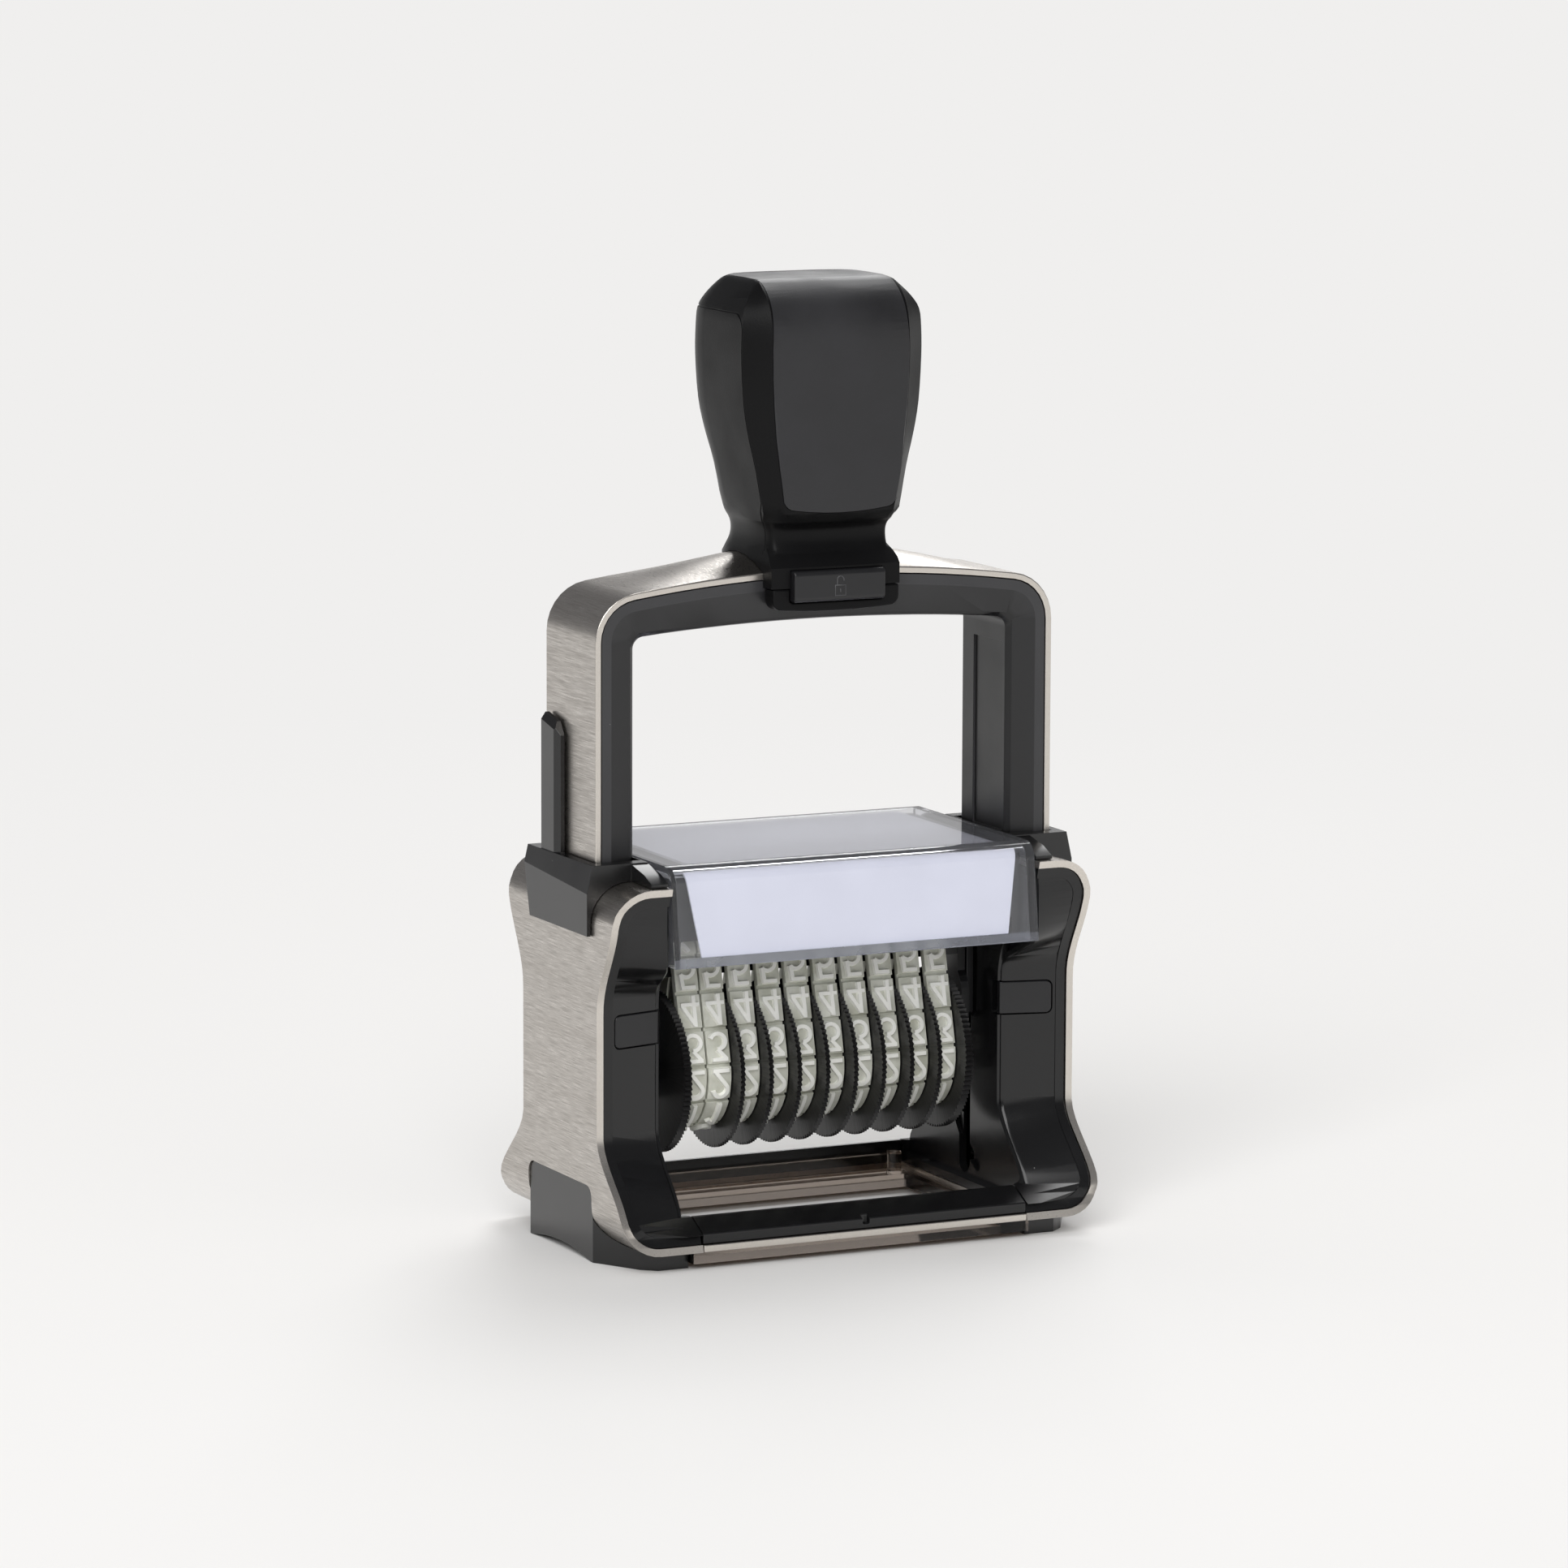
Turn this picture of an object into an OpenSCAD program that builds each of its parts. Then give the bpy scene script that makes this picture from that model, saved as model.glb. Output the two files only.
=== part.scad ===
// Self-inking number stamp with ten setting wheels, in millimetres.
// Frame: +X to the right, -Y to the front, +Z up, origin under the middle of the base.

/* [Body] */
// Width over the two steel side straps
body_w = 87.7; // [84:0.1:92]
// Thickness of the body's steel
steel_t = 1.2; // [0.8:0.1:1.5]
// Outer radius of the steel's bends
bend_r = 6.5; // [5.5:0.1:8]
// Height of the steel's underside above the table
sole_z = 3.1; // [2.5:0.1:4]
// Height of the top of the steel shoulders
shoulder_z = 62.8; // [61.5:0.1:64]
// Half depth of the body at its waist
waist_half = 14.9; // [14:0.1:17]
// Half depth of the body at its shoulders
shoulder_half = 21.1; // [20:0.1:24]
// Half depth of the body just above its sole
sole_half = 25; // [23:0.1:28]
// How far the joint between a strap and a sill lies inside a cheek wall
joint_inset = 1.55; // [1.4:0.05:1.8]

/* [Moulded cheeks] */
// Gap between a cheek wall and the leg behind it
leg_gap = 1.53; // [1:0.01:1.7]
// Thickness of a cheek wall
wall_t = 1.4; // [1:0.1:1.6]
// Thickness of a cheek's front and rear flanges
flange_t = 2.6; // [2:0.1:3]
// Width of the flat border next to the steel
border_w = 1.7; // [1:0.1:2.5]
// How far the plastic lies behind the edge of the steel
rim_recess = 0.4; // [0.2:0.1:0.8]
// How far the inner edge of a post is set back from its border
post_setback = 2.2; // [1:0.1:2.8]
// Thickness of the floor inside a cheek
floor_t = 1.4; // [1:0.1:2]
// Height of the inner edge of the front and rear rails
rail_top_z = 8.2; // [7:0.1:9.5]
// Depth of a rail from front to back
rail_depth = 5; // [4:0.1:6]

/* [Arch] */
// How far the outside of the steel arch lies inside the body's sides
arch_inset = 2.02; // [1.95:0.01:2.5]
// Depth of the steel arch
arch_depth = 19.8; // [18:0.1:20]
// Thickness of the arch's steel
arch_t = 1.1; // [0.8:0.1:1.4]
// Height of the arch's rim above the table at the middle
arch_top_z = 112.2; // [108:0.1:118]
// Radius of the arch's long top curve
arch_curve_r = 250; // [200:1:400]
// Radius of the arch's corners
arch_corner_r = 8; // [7.8:0.1:10]
// Rise of the steel's crown beside the handle
arch_crown = 3; // [0:0.1:4]
// Width of a leg, from the outside of the steel to the inside of the plastic
leg_w = 7.6; // [7:0.1:7.8]
// Extra depth of the plastic frame under the handle
frame_sag = 0.85; // [0:0.05:2]

/* [Handle] */
// Total height of the stamp
total_h = 160; // [152:1:170]
// Greatest half width of the grip
grip_half = 16.3; // [15:0.1:18]
// Half width of the grip's neck
neck_half = 10.8; // [10:0.1:12]
// How far the front of the grip lies ahead of the middle
grip_front = 15.3; // [14.5:0.1:16.5]
// How far the back of the grip lies behind the middle
grip_back = 9.9; // [9:0.1:12]
// Width of the sloping border around the inlay
bezel_w = 3.9; // [3:0.1:4.5]
// Thickness of the inlay on the grip
inlay_t = 1.4; // [1:0.1:2]
// Half width of the grip's skirt
skirt_half = 11.7; // [11:0.1:12.5]
// How far the front of the skirt lies ahead of the middle
skirt_front = 13.6; // [13.4:0.1:14.4]
// Half width of the lock button
lock_half = 8.3; // [6:0.1:9.5]
// Height of the lock button's face
lock_h = 5.2; // [4:0.1:5.4]
// Travel of the lock button
lock_travel = 1.4; // [0.8:0.1:1.6]

/* [Number unit] */
// Height of the unit's pivot at rest
pivot_z = 38; // [37.5:0.1:38.5]
// Distance from the pivot to the print face
print_reach = 14; // [13.5:0.1:14.2]
// Gap left above the paper when the handle is down
paper_gap = 0.1; // [0:0.05:0.5]
// Diameter of the trunnion pins
pin_d = 3.4; // [3:0.1:3.8]
// Distance from the pivot down to the wheel axle
wheel_drop = 9.5; // [9:0.1:10]
// Number of setting wheels and bands
wheel_count = 10; // [10]
// Share of the distance from band to band that a band fills
band_share = 0.794; // [0.75:0.002:0.8]
// Thickness of a number band without its figures
band_t = 1.3; // [1:0.1:1.5]
// Number of figure blocks around a band
band_blocks = 14; // [12:1:16]
// Radius over the teeth of a setting wheel
wheel_r = 13.6; // [13:0.1:14]
// Share of the distance from band to band that a rim disc fills
disc_share = 0.144; // [0.1:0.002:0.15]
// Number of teeth on a setting wheel
wheel_teeth = 96; // [60:1:140]
// Depth of a tooth on a setting wheel
tooth_h = 0.5; // [0.3:0.05:0.7]
// Radius of the drum that carries a band
drum_r = 8.3; // [8:0.1:9.2]
// Diameter of the wheel axle
axle_d = 3; // [2.5:0.1:3.5]
// Thickness of the first and the last rim disc
end_disc_t = 1.3; // [0.8:0.05:1.5]
// Space between the last band and the side plate, which holds the last disc
band_margin_right = 3.56; // [3.4:0.02:4]
// Space between the first band and the side plate, which holds the first disc
band_margin_left = 2.21; // [2.1:0.01:2.6]
// Thickness of the number unit's side plates
carriage_t = 1.4; // [1:0.1:1.6]
// Thickness of the yoke arms
arm_t = 1.3; // [1:0.1:1.4]
// Distance from the pivot to the cam pins
cam_reach = 7.4; // [7.2:0.05:7.6]
// Diameter of the cam pins
cam_d = 1.6; // [1.2:0.1:1.8]

/* [Window and pad] */
// Height of the top of the clear window cover
cover_top_z = 66; // [65.5:0.1:67]
// Height of the lower edge of the clear window cover
cover_low_z = 49.6; // [49.5:0.1:50]
// Gap on each side of the clear window cover
cover_gap = 0.25; // [0.15:0.05:0.4]
// How far the window's lower edge lies ahead of the middle
cover_front = 22.7; // [22:0.1:23.5]
// Wall of the clear window cover
cover_t = 1.2; // [0.9:0.1:1.4]
// Thickness of the label cards
card_t = 0.4; // [0.2:0.05:0.6]

/* [Feet and base frame] */
// Half length of a foot's side block
foot_half = 12.7; // [11:0.1:13.5]
// Height of a foot's side block
foot_h = 12.6; // [11:0.1:13.2]
// Half depth of the feet at the corners
foot_reach = 22.8; // [21:0.1:24]
// Height of the clear base frame's underside above the table
frame_lift = 0.9; // [0.5:0.1:1.2]

/* [Collars] */
// How far a collar stands out from the steel side
collar_out = 0.75; // [0.6:0.05:1.5]
// Thickness of a collar between the leg and the window cover
collar_lip = 0.28; // [0.2:0.02:0.5]
// Half depth of a collar
collar_half = 12.7; // [12:0.1:14]
// Height of the tongue beside each leg
tongue_top_z = 88.6; // [80:0.1:92]
// Lowest point of the collar's outer tab
tab_low_z = 54.3; // [53:0.1:57]

/* [Springs and buttons] */
// Outer diameter of a return spring
spring_d = 4.4; // [4:0.1:4.6]
// Wire diameter of a return spring
spring_wire = 0.6; // [0.5:0.05:0.8]
// Number of coils in a return spring
spring_coils = 18; // [12:1:24]
// Distance of the springs behind the pivot
spring_y = 5.2; // [4.6:0.1:6]
// Travel of a release button
release_travel = 1.2; // [0.5:0.1:1.3]
// Height of a release button's face
release_h = 5.6; // [4:0.1:7]
// Height of the middle of the release buttons
release_z = 38.3; // [34:0.1:40]

/* [Clearances] */
// Gap between faces that slide past each other
slide_gap = 0.3; // [0.2:0.05:0.4]
// Gap between fixed faces that meet
seat_gap = 0.1; // [0.05:0.01:0.15]
// Radial clearance of a turning shaft
run_gap = 0.05; // [0.02:0.01:0.08]

/* [Hidden] */
$fn = 48;

body_x = body_w / 2;
steel_in_x = body_x - steel_t;
collar_x = body_x + collar_out;
bend_in_r = bend_r - steel_t;
deck_z = sole_z + steel_t;
arch_x = body_x - arch_inset;
arch_y = arch_depth / 2;
leg_in_x = arch_x - leg_w;
wall_x = leg_in_x - leg_gap - wall_t;
joint_x = wall_x - joint_inset;
stroke = pivot_z - print_reach - paper_gap;
print_z = pivot_z + print_reach;
wheel_z = pivot_z - wheel_drop;
floor_z = deck_z + seat_gap + floor_t;
leg_end_z = floor_z + stroke + slide_gap;
wall_top_z = cover_low_z - seat_gap;
hole_in_x = leg_in_x - slide_gap;
collar_in_x = hole_in_x - collar_lip;
bay_x = collar_in_x - seat_gap;
cover_half = bay_x - cover_gap;
relief = 0.6;
joint_gap = 0.1;
press_gap = 0.04;

// Blend that starts and ends level
function smooth(t) = let (c = min(1, max(0, t))) c * c * (3 - 2 * c);
// Points on an arc from angle a to angle b
function arc(x, y, r, a, b, n) =
    [for (i = [0:n]) let (t = a + (b - a) * i / n) [x + r * cos(t), y + r * sin(t)]];
// List turned round
function reversed(list) = [for (i = [len(list) - 1:-1:0]) list[i]];
// Straight blend between two numbers
function mix(a, b, t) = a + (b - a) * t;

// Side outline of the body: wide at the sole, narrow at the waist, wide again at the shoulders
flare_low_z = sole_z + 3.9;
flare_high_z = sole_z + 17.9;
swell_low_z = shoulder_z - 20.8;
swell_high_z = shoulder_z - 4.3;
lip_out = 1.1;
function half_depth(z) = waist_half
    + (sole_half - waist_half) * (1 - smooth((z - flare_low_z) / (flare_high_z - flare_low_z)))
    + lip_out * (1 - smooth((z - sole_z) / (flare_low_z - sole_z)))
    + (shoulder_half - waist_half) * smooth((z - swell_low_z) / (swell_high_z - swell_low_z))
    + lip_out * smooth((z - swell_high_z) / (shoulder_z - swell_high_z));
function outline_rows(low, high, step) = concat([for (z = [low:step:high - step / 2]) z], [high]);
function body_outline(low, high, inset) = let (rows = outline_rows(low, high, 1.6)) concat(
    [for (z = rows) [half_depth(z) - inset, z]],
    [for (i = [len(rows) - 1:-1:0]) [inset - half_depth(rows[i]), rows[i]]]
);

// Plate drawn in Y and Z and extruded along X
module side_plate(points, x_low, x_high) {
    translate([x_low, 0, 0]) rotate([90, 0, 90]) linear_extrude(x_high - x_low) polygon(points);
}
// Plate drawn in X and Z and extruded along Y
module front_plate(points, y_low, y_high) {
    translate([0, y_high, 0]) rotate([90, 0, 0]) linear_extrude(y_high - y_low) polygon(points);
}
// Box between two corners
module block(low, high) {
    translate(low) cube(high - low);
}
// Rod along X
module rod(x_low, x_high, y, z, d) {
    translate([x_low, y, z]) rotate([0, 90, 0]) cylinder(d = d, h = x_high - x_low);
}
// Solid skin through rings of points, each ring going round the same way
module loft(rings) {
    n = len(rings[0]);
    last = len(rings) - 1;
    faces = concat(
        [[for (j = [0:n - 1]) j]],
        [for (i = [0:last - 1], j = [0:n - 1]) let (k = (j + 1) % n)
            [i * n + j, i * n + n + j, i * n + n + k]],
        [for (i = [0:last - 1], j = [0:n - 1]) let (k = (j + 1) % n) [i * n + j, i * n + n + k, i * n + k]],
        [[for (j = [n - 1:-1:0]) last * n + j]]
    );
    polyhedron(points = [for (r = rings, p = r) p], faces = faces, convexity = 8);
}
// Right-hand piece, or its mirror image on the left
module on_side(side) {
    if (side > 0) children();
    else mirror([1, 0, 0]) children();
}

// Outline of a side block with rounded upper corners, drawn in Y and Z
function round_top(half, low, high, r) = concat(
    [[-half, low], [half, low]],
    arc(half - r, high - r, r, 0, 90, 6),
    arc(r - half, high - r, r, 90, 180, 6)
);

// Steel strap of one side: shoulder, flat side and bottom bent from one strip
shoulder_end_x = bay_x;
strap_profile = concat(
    [[shoulder_end_x, shoulder_z]],
    arc(body_x - bend_r, shoulder_z - bend_r, bend_r, 90, 0, 8),
    arc(body_x - bend_r, sole_z + bend_r, bend_r, 0, -90, 8),
    [[joint_x, sole_z], [joint_x, deck_z]],
    arc(body_x - bend_r, sole_z + bend_r, bend_in_r, -90, 0, 8),
    arc(body_x - bend_r, shoulder_z - bend_r, bend_in_r, 0, 90, 8),
    [[shoulder_end_x, shoulder_z - steel_t]]
);
foot_corner_r = 2;
tab_back_half = arch_y + 0.9;
tab_back_z = tab_low_z + 1.6;
module strap_side() {
    difference() {
        intersection() {
            front_plate(strap_profile, -sole_half - 5, sole_half + 5);
            side_plate(body_outline(sole_z, shoulder_z, 0), joint_x - 1, body_x + 1);
        }
        block([leg_in_x - 1, -tab_back_half, tab_back_z], [body_x + 1, tab_back_half, shoulder_z + 1]);
        side_plate(round_top(foot_half + seat_gap, sole_z - 1, foot_h + seat_gap, foot_corner_r),
            body_x - bend_r - seat_gap, body_x + 1);
    }
}
module body_strap_left() {
    color("silver") on_side(-1) strap_side();
}
module body_strap_right() {
    color("silver") on_side(1) strap_side();
}

// Steel strips along the front and rear of the sole
sill_w = 4;
sill_front = half_depth(sole_z);
module sill_strips() {
    color("silver") {
        for (s = [-1, 1]) {
            translate([0, s * (sill_front - sill_w / 2), sole_z + steel_t / 2])
                cube([2 * (joint_x - joint_gap), sill_w, steel_t], center = true);
        }
    }
}

// Section of a rail, drawn in Y and Z for the front one
rail_border_z = deck_z + seat_gap + border_w;
rail_front = sill_front - rim_recess;
rail_section = [
    [-rail_front, deck_z + seat_gap],
    [rail_depth - rail_front, deck_z + seat_gap],
    [rail_depth - rail_front, rail_top_z],
    [rail_depth - rail_front - 0.7, rail_top_z],
    [-rail_front, rail_border_z]
];
module rail() {
    difference() {
        side_plate(rail_section, joint_gap - joint_x, joint_x - joint_gap);
        translate([0, -rail_front, rail_top_z]) cube([1.2, 2.2, 6], center = true);
    }
}
module front_rail() {
    color("#202022") rail();
}
module rear_rail() {
    color("#202022") mirror([0, 1, 0]) rail();
}

// Cheek: a rim that lines the steel, sloping webs in front and behind, and the inner wall with its slot
cheek_out_x = steel_in_x - seat_gap;
cheek_bend_r = bend_in_r - seat_gap;
corner_x = body_x - bend_r;
corner_low_z = sole_z + bend_r;
corner_high_z = shoulder_z - bend_r;
panel_x = bay_x + seat_gap;
panel_low_z = cover_low_z + 0.6;
post_high_z = panel_low_z - 6;
post_low_z = flare_high_z - 1;
post_x = wall_x + 0.6;
edge_w = 0.4;
rail_back = rail_front - rail_depth;
rail_crest = rail_back + 0.7;
panel_back = half_depth(shoulder_z) - rim_recess - 0.8;
function rim(z) = half_depth(z) - rim_recess;
rim_profile = concat(
    [[panel_x, shoulder_z - steel_t - seat_gap]],
    arc(corner_x, corner_high_z, cheek_bend_r, 90, 0, 8),
    arc(corner_x, corner_low_z, cheek_bend_r, 0, -90, 8),
    [[joint_x + joint_gap, deck_z + seat_gap], [joint_x + joint_gap, rail_border_z]],
    arc(corner_x, corner_low_z, cheek_bend_r - border_w, -90, 0, 8),
    arc(corner_x, corner_high_z, cheek_bend_r - border_w, 0, 90, 8),
    [[panel_x, shoulder_z - steel_t - seat_gap - border_w]]
);
// Outer end of a web at a height, a little inside the rim
web_bend_r = cheek_bend_r - border_w + 0.25;
function web_out_x(z) = corner_x
    + (z < corner_low_z ? sqrt(max(0, pow(web_bend_r, 2) - pow(corner_low_z - z, 2)))
    : z > corner_high_z ? sqrt(max(0, pow(web_bend_r, 2) - pow(z - corner_high_z, 2)))
    : web_bend_r);
// Depth of the post's inner edge, and of the whole web's inner edge with the panel above it
function post_edge(z) = rim(z) - post_setback
    - (rim(rail_top_z) - post_setback - rail_crest) * smooth((post_low_z - z) / (post_low_z - rail_top_z));
function panel_share(z) = smooth((z - post_high_z) / (panel_low_z - post_high_z));
function web_edge(z) = mix(post_edge(z), panel_back, panel_share(z));
function rail_edge(z) = mix(rail_front, rail_crest, (z - rail_border_z) / (rail_top_z - rail_border_z));
web_dip = 0.15;
function web_ring(z) = let (
        c = web_out_x(z),
        b = mix(post_x, panel_x, panel_share(z)),
        low = z <= rail_top_z,
        front = low ? rail_edge(z) : web_edge(z),
        back = low ? rail_back : front - flange_t) [
    [low ? joint_x + joint_gap : b, low ? -front : edge_w - front, z], [b + edge_w, -front, z],
        [c, web_dip - rim(z), z],
    [c, flange_t - rim(z), z], [b + edge_w, -back, z], [low ? joint_x + joint_gap : b, -back, z]
];
web_low_z = rail_border_z - 0.2;
web_top_z = shoulder_z - steel_t - seat_gap - border_w / 2;
web_heights = concat(
    [web_low_z, (web_low_z + rail_top_z) / 2, rail_top_z],
    outline_rows(rail_top_z + 0.05, corner_low_z + 0.4, 0.8),
    outline_rows(corner_low_z + 1.6, post_high_z, 2),
    [for (i = [1:4]) mix(post_high_z, panel_low_z, i / 4)],
    outline_rows(panel_low_z + 1.5, corner_high_z + 1, 1.5),
    outline_rows(corner_high_z + 2, web_top_z, 0.8)
);
module cheek_rim() {
    difference() {
        intersection() {
            front_plate(rim_profile, -sole_half - 5, sole_half + 5);
            side_plate(body_outline(deck_z, shoulder_z, rim_recess), joint_x - 1, body_x + 1);
        }
        block([panel_x - 4, -foot_half - 0.3, floor_z], [body_x, foot_half + 0.3, shoulder_z]);
    }
}
slot_w = pin_d + 2 * slide_gap;
slot_low_z = deck_z + 2;
// Path of a cam pin beside the wall while the handle goes down and the unit turns over, drawn in Y and Z
cam_lean = 40;
groove_d = 0.8;
groove_w = cam_d + 2 * slide_gap;
function cam_point(t) = [cam_reach * sin(cam_lean + 180 * t),
    pivot_z - stroke * t + cam_reach * cos(cam_lean + 180 * t)];
// Direction square to the path, as an angle
function cam_square(t) = let (d = cam_point(t + 0.002) - cam_point(t - 0.002)) atan2(d[1], d[0]) + 90;
function cam_side(t, r) = let (a = cam_square(t), c = cam_point(t)) [c[0] + r * cos(a), c[1] + r * sin(a)];
function cam_end(t, a) = arc(cam_point(t)[0], cam_point(t)[1], groove_w / 2, a - 25, a - 155, 5);
groove_steps = 24;
groove_outline = concat(
    [for (i = [0:groove_steps]) cam_side(i / groove_steps, groove_w / 2)],
    cam_end(1, cam_square(1)),
    [for (i = [groove_steps:-1:0]) cam_side(i / groove_steps, -groove_w / 2)],
    cam_end(0, cam_square(0) - 180)
);
slot_outline = concat(
    [[slot_w / 2, wall_top_z + 1], [-slot_w / 2, wall_top_z + 1]],
    arc(0, slot_low_z + slot_w / 2, slot_w / 2, 180, 360, 10)
);
wall_heights = outline_rows(deck_z + seat_gap, wall_top_z, 1.6);
function wall_edge(z) = z < rail_top_z ? rail_back + 0.2 : post_edge(z) - edge_w - 0.2;
module cheek_wall() {
    difference() {
        side_plate(concat([for (z = wall_heights) [wall_edge(z), z]],
            [for (z = reversed(wall_heights)) [-wall_edge(z), z]]),
            wall_x, wall_x + wall_t);
        side_plate(slot_outline, wall_x - 1, wall_x + wall_t + 1);
        side_plate(groove_outline, wall_x - 1, wall_x + groove_d);
    }
}
release_out_x = cheek_out_x - 2.25;
release_depth = 3.4;
release_front = waist_half - rim_recess - 0.1;
release_back = release_front - release_depth;
release_round = 1;
function release_outline(in_x, gap) = let (
    out = release_out_x + gap,
    low = release_z - release_h / 2 - gap,
    high = release_z + release_h / 2 + gap,
    r = release_round + gap) concat(
    [[in_x, low]], arc(out - r, low + r, r, 270, 360, 4), arc(out - r, high - r, r, 0, 90, 4),
        [[in_x, high]]);
module release_pocket(gap) {
    front_plate(release_outline(wall_x - 2, gap), -release_front - 4, -release_back + gap + release_travel);
}
module cheek_side() {
    difference() {
        union() {
            cheek_rim();
            loft([for (z = web_heights) web_ring(z)]);
            mirror([0, 1, 0]) loft([for (z = web_heights) web_ring(z)]);
            cheek_wall();
            block([wall_x + wall_t / 2, flange_t - rail_back, deck_z + seat_gap],
                [corner_x, rail_back - flange_t, floor_z]);
        }
        release_pocket(seat_gap);
    }
}
module cheek_left() {
    color("#1b1b1d") on_side(-1) cheek_side();
}
module cheek_right() {
    color("#1b1b1d") on_side(1) cheek_side();
}

// Release button in a post, with a face that follows the post's slope
module release_button() {
    slope = post_setback / (cheek_out_x - border_w - post_x);
    function face_y(x) = release_front - slope * (cheek_out_x - border_w - x);
    in_x = wall_x + 0.2;
    intersection() {
        translate([0, 0, release_z - release_h / 2]) linear_extrude(release_h) polygon([
            [in_x, -face_y(in_x)], [release_out_x, -face_y(release_out_x)],
            [release_out_x, -release_back], [in_x, -release_back]
        ]);
        front_plate(release_outline(in_x, -seat_gap / 2), -release_front - 1, -release_back);
    }
}
module release_button_left() {
    color("#2a2a2d") on_side(-1) release_button();
}
module release_button_right() {
    color("#2a2a2d") on_side(1) release_button();
}

// Collar around a leg, with the outer tab and the tongue that guides the leg
collar_low_z = shoulder_z + seat_gap;
collar_top_z = cover_top_z - 0.1;
hole_out_x = arch_x + slide_gap;
tongue_t = 1.5;
tongue_front_y = 1.7;
tongue_back_y = 7.9;
tongue_bevel = 1.1;
tongue_dip = 1;
tongue_turn = 1.6;
tab_half = collar_half - 2.2;
collar_slope = 0.9;
band_front_z = collar_top_z - 4.6;
band_rear_z = collar_top_z - 2.9;
wing_reach = 20.6;
collar_bend_r = bend_r + seat_gap;
collar_section = concat(
    [[collar_in_x, collar_low_z]],
    arc(corner_x, corner_high_z, collar_bend_r, 90, 0, 8),
    [[body_x + seat_gap, tab_low_z], [collar_x, tab_low_z],
        [collar_x, collar_top_z], [collar_in_x, collar_top_z]]
);
// Section of the cut along the tongue's two outer edges
tongue_edge = [[tongue_bevel * 0.35, -tongue_bevel * 1.5], [-tongue_bevel * 1.05, tongue_bevel * 0.5],
    [tongue_bevel * 2, tongue_bevel * 3]];
module tongue() {
    out_x = hole_out_x + tongue_t;
    turn_y = tongue_front_y + tongue_turn;
    difference() {
        side_plate([[tongue_front_y, collar_top_z - 2], [tongue_back_y, collar_top_z - 2],
            [tongue_back_y, tongue_top_z], [turn_y, tongue_top_z - tongue_dip],
            [tongue_front_y, tongue_top_z - 2 * tongue_turn]], hole_out_x, out_x);
        translate([out_x, tongue_front_y, collar_top_z - 3])
            linear_extrude(tongue_top_z) polygon([for (p = tongue_edge) [p[0], -p[1]]]);
        translate([out_x, turn_y, tongue_top_z - tongue_dip])
            rotate([atan2(tongue_dip, tongue_back_y - turn_y), 0, 0])
                front_plate(tongue_edge, -4, tongue_back_y);
    }
}
module collar_side() {
    difference() {
        union() {
            intersection() {
                front_plate(collar_section, -collar_half, collar_half);
                side_plate([[-collar_half, tab_low_z], [tab_half, tab_low_z], [collar_half, band_rear_z],
                    [collar_half, collar_top_z], [-collar_half, collar_top_z]],
                    collar_in_x - 1, collar_x + 1);
            }
            block([hole_out_x, seat_gap - tab_back_half, tab_back_z + seat_gap],
                [body_x + 0.2, tab_back_half - seat_gap, collar_low_z]);
            for (s = [-1, 1]) {
                side_plate([[s * (collar_half - 1), collar_low_z], [s * wing_reach, collar_low_z],
                    [s * wing_reach, collar_low_z + 0.6], [s * (wing_reach - 3), collar_low_z + 1.8],
                    [s * (collar_half - 1), collar_top_z]], collar_in_x, collar_in_x + 3);
            }
        }
        block([hole_in_x, -arch_y - slide_gap, tab_low_z - 1],
            [hole_out_x, arch_y + slide_gap, collar_top_z + 1]);
        translate([collar_x, -collar_half, band_front_z])
            rotate([atan2(band_rear_z - band_front_z, 2 * collar_half), 0, 0])
                front_plate([[collar_slope, -4], [3 * collar_slope, -4],
                    [3 * collar_slope, 8], [-2 * collar_slope, 8]], -1, 2 * collar_half + 2);
    }
    tongue();
}
module collar_left() {
    color("#232325") on_side(-1) collar_side();
}
module collar_right() {
    color("#232325") on_side(1) collar_side();
}

// Foot of one side: a sole under the steel that runs from corner to corner, and the side block in the
// steel's notch
foot_in_x = wall_x - slide_gap;
corner_foot_w = 5.4;
corner_foot_l = 7;
sole_arch_r = 60;
sole_arch_h = 1.2;
foot_face_x = body_x - 0.3;
foot_wall = 2.6;
foot_plan = [
    [foot_in_x, -foot_reach], [foot_in_x + corner_foot_w, -foot_reach],
        [foot_in_x + corner_foot_w + 2.4, 2 - foot_reach],
    [foot_face_x - 1, -foot_half - 1.6], [foot_face_x, -foot_half], [foot_face_x, foot_half],
        [foot_face_x - 1, foot_half + 1.6],
    [foot_in_x + corner_foot_w + 2.4, foot_reach - 2], [foot_in_x + corner_foot_w, foot_reach],
        [foot_in_x, foot_reach],
    [foot_in_x, foot_reach - corner_foot_l], [foot_in_x + 2.4, foot_reach - corner_foot_l - 1.5],
    [foot_in_x + 2.4, corner_foot_l + 1.5 - foot_reach], [foot_in_x, corner_foot_l - foot_reach]
];
foot_section = concat(
    [[foot_in_x - 1, 0], [body_x + 1, 0]],
    arc(corner_x, corner_low_z, bend_r + seat_gap, -12, -90, 8),
    [[foot_in_x - 1, sole_z - seat_gap]]
);
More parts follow.
